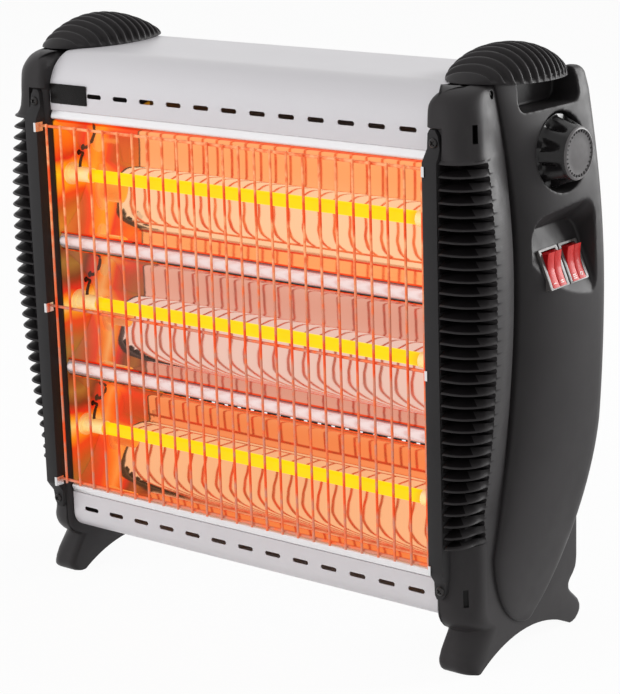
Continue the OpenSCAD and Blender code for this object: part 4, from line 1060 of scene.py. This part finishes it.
*knob_turned, shade = knob_part()
outward(make("knob", knob_turned, [knob_black, knob_rim, knob_face], "knob",
             ["thermostat_knob"], 40, shade))
TICKS, TICK_X, TICK_HALF, TICK_RISE = 30, (240.0, 240.6), 0.42, (15.2, 17.4)
tick = box_part((TICK_X[0], CONTROL_Y - TICK_HALF, KNOB_Z + TICK_RISE[0]),
                (TICK_X[1], CONTROL_Y + TICK_HALF, KNOB_Z + TICK_RISE[1]))
ticks = [turned(tick, (TICK_X[0], CONTROL_Y, KNOB_Z), (1, 0, 0), 360 / TICKS * k) for k in range(TICKS)]
outward(make("knob_ticks", joined(ticks), ticks_and_painted_hole_shade, "knob"))


# ---- rockers ----

LANE_PITCH = 9.1
HALF_SWING = radians(12)
# Half length, height of the valley over the pivot, and how deep the pivot lies in the switch
ROCKER_R, ROCKER_RISE, PIVOT_IN = 13.2, 5.6, 3.2


def valley_slope(z, sag):
    """Height over the pivot of a rocker's face, which sags between its valley and its end."""
    return ROCKER_RISE + abs(z) * tan(HALF_SWING) - sag * sin(pi * abs(z) / ROCKER_R)


def rocker_part():
    """A rocker about its pivot: a V of two hollow faces, with rounded ends."""
    line = []
    for i in range(15):
        z = ROCKER_R * 0.975 * (2 * i / 14 - 1)
        line.append((valley_slope(z, 0.55), z))
    ends = [(x, sqrt(ROCKER_R ** 2 - min(x, 7) ** 2)) for x in (7.6, 5.5, 3.5, 1.5, -0.5, -2.4)]
    outline = line + [(x, z) for x, z in ends] + [(x, -z) for x, z in ends[::-1]]
    widths = ((-4.4, 0.45), (-4.2, 0.12), (-3.9, 0), (3.9, 0), (4.2, 0.12), (4.4, 0.45))
    rings = []
    for y, inset in widths:
        rings.append([(x - inset * (1 if x > 3 else 0), y, z * (1 - inset / ROCKER_R)) for x, z in outline])
    n = len(outline)
    # Hollow faces take the lighter painted-light copy, the rounded ends, underside and both sides take the
    # darker painted-shade copy, and the rest take the plain red.
    shade = [1 if 0 < s < 4 and j < 14 else (0 if j < 15 or j == n - 1 else 2)
             for s in range(5) for j in range(n)]
    return *loft(rings), shade + [2, 2]


def in_switch(part, number):
    """A rocker's part in its switch, leant back about its pivot by half the swing."""
    module, lane = divmod(number - 1, 2)
    c, s = cos(HALF_SWING), sin(HALF_SWING)
    verts = [(x * c + z * s - PIVOT_IN, y + (lane - 0.5) * LANE_PITCH, -x * s + z * c) for x, y, z in part[0]]
    return on_switch_plane((verts, part[1]), (module - 0.5) * MODULE_PITCH)


def stroke(y, z, half_y, half_z):
    """Raised bar of a mark on the lower face of a rocker."""
    lift = valley_slope(z, 0.5)
    return box_part((lift - 0.4, y - half_y, z - half_z), (lift + 0.12, y + half_y, z + half_z))


MARKS = {
    1: [(0, -9.6, 1.7, 0.35)],
    2: [(0, -9.1, 1.7, 0.35), (0, -10.4, 1.7, 0.35)],
    3: [(0, -8.4, 1.9, 0.38), (0, -9.7, 1.9, 0.38), (0, -11.0, 1.9, 0.38)],
    4: [(-1.2, -9.6, 0.35, 1.2), (0, -8.4, 1.3, 0.35), (1.3, -9.2, 0.35, 1.0), (0.6, -10.2, 0.8, 0.35)],
}
*rocker_cap, rocker_shade = rocker_part()
for number, strokes in MARKS.items():
    body = "rocker_%d" % number
    outward(make("rocker_cap_%d" % number, in_switch(rocker_cap, number),
                 [rocker_red, rocker_top, rocker_side], body, [body], 50, rocker_shade))
    mark = joined([stroke(*bar) for bar in strokes])
    outward(make("mark_%d" % number, in_switch(mark, number), mark_white, body))


# ---- camera, lights, floor ----

def seen_directly(tree):
    """1 for rays from the camera, off mirrors and through glass, and 0 for the rest."""
    path = tree.nodes.new("ShaderNodeLightPath")
    total = path.outputs["Is Glossy Ray"]
    for kind in ("Is Transmission Ray", "Is Camera Ray"):
        node = tree.nodes.new("ShaderNodeMath")
        node.operation = "ADD"
        node.use_clamp = True
        tree.links.new(total, node.inputs[0])
        tree.links.new(path.outputs[kind], node.inputs[1])
        total = node.outputs[0]
    return total


def area(name, place, target, size, power):
    data = bpy.data.lights.new(name, "AREA")
    data.shape = "RECTANGLE"
    data.size, data.size_y = size
    data.energy = power
    lamp = placed(name, data)
    lamp.location = place
    lamp.rotation_euler = (Vector(target) - Vector(place)).to_track_quat("-Z", "Y").to_euler()
    return lamp


def build_stage():
    scene = bpy.context.scene
    scene.view_settings.view_transform = "Standard"

    world = bpy.data.worlds.new("studio")
    scene.world = world
    world.use_nodes = True
    tree = world.node_tree
    tree.nodes.clear()
    out = tree.nodes.new("ShaderNodeOutputWorld")
    mix = tree.nodes.new("ShaderNodeMixShader")
    tree.links.new(seen_directly(tree), mix.inputs[0])
    for slot, color, strength in ((1, (1, 0.99, 0.98, 1), 0.36), (2, (1, 1, 1, 1), 1.0)):
        node = tree.nodes.new("ShaderNodeBackground")
        node.inputs["Color"].default_value = color
        node.inputs["Strength"].default_value = strength
        tree.links.new(node.outputs[0], mix.inputs[slot])
    tree.links.new(mix.outputs[0], out.inputs[0])

    floor_data = bpy.data.meshes.new("floor")
    floor_data.from_pydata([(-6, -6, 0), (6, -6, 0), (6, 6, 0), (-6, 6, 0)], [], [(0, 1, 2, 3)])
    floor = placed("floor", floor_data)
    m = Nodes("floor", **{"Base Color": (0.86, 0.86, 0.86, 1), "Roughness": 0.8, "Specular IOR Level": 0.1})
    glowing = m.add("Emission", {"Color": (1, 1, 1, 1), "Strength": 1.0})
    both = m.add("MixShader")
    m.link(m.math("MULTIPLY", seen_directly(m.tree), 0.95), both.inputs[0])
    m.link(m.shader.outputs[0], both.inputs[1])
    m.link(glowing.outputs[0], both.inputs[2])
    m.link(both.outputs[0], m.tree.nodes["Material Output"].inputs[0])
    floor_data.materials.append(m.mat)

    front = area("front_softbox", (-1.3, -2.1, 1.0), (0, 0, 0.25), (2.4, 2.4), 41)
    front.visible_glossy = False
    area("right_softbox", (1.5, 2.5, 0.85), (0.2, 0.0, 0.25), (1.3, 1.9), 84)
    area("top_softbox", (0.1, 0.3, 2.4), (0, 0, 0.3), (1.8, 1.6), 5)

    data = bpy.data.cameras.new("camera")
    data.lens = 122.26
    data.sensor_width = 36
    data.clip_end = 50
    camera = placed("camera", data)
    place = Vector((1.1147, -1.3762, 0.6817))
    forward = (Vector((0.0765, -0.0747, 0.2318)) - place).normalized()
    right = forward.cross(Vector((0, 0, 1))).normalized()
    up = right.cross(forward)
    roll = -0.03046
    right, up = cos(roll) * right + sin(roll) * up, -sin(roll) * right + cos(roll) * up
    camera.matrix_world = Matrix.Translation(place) @ Matrix((right, up, -forward)).transposed().to_4x4()
    scene.camera = camera


build_stage()
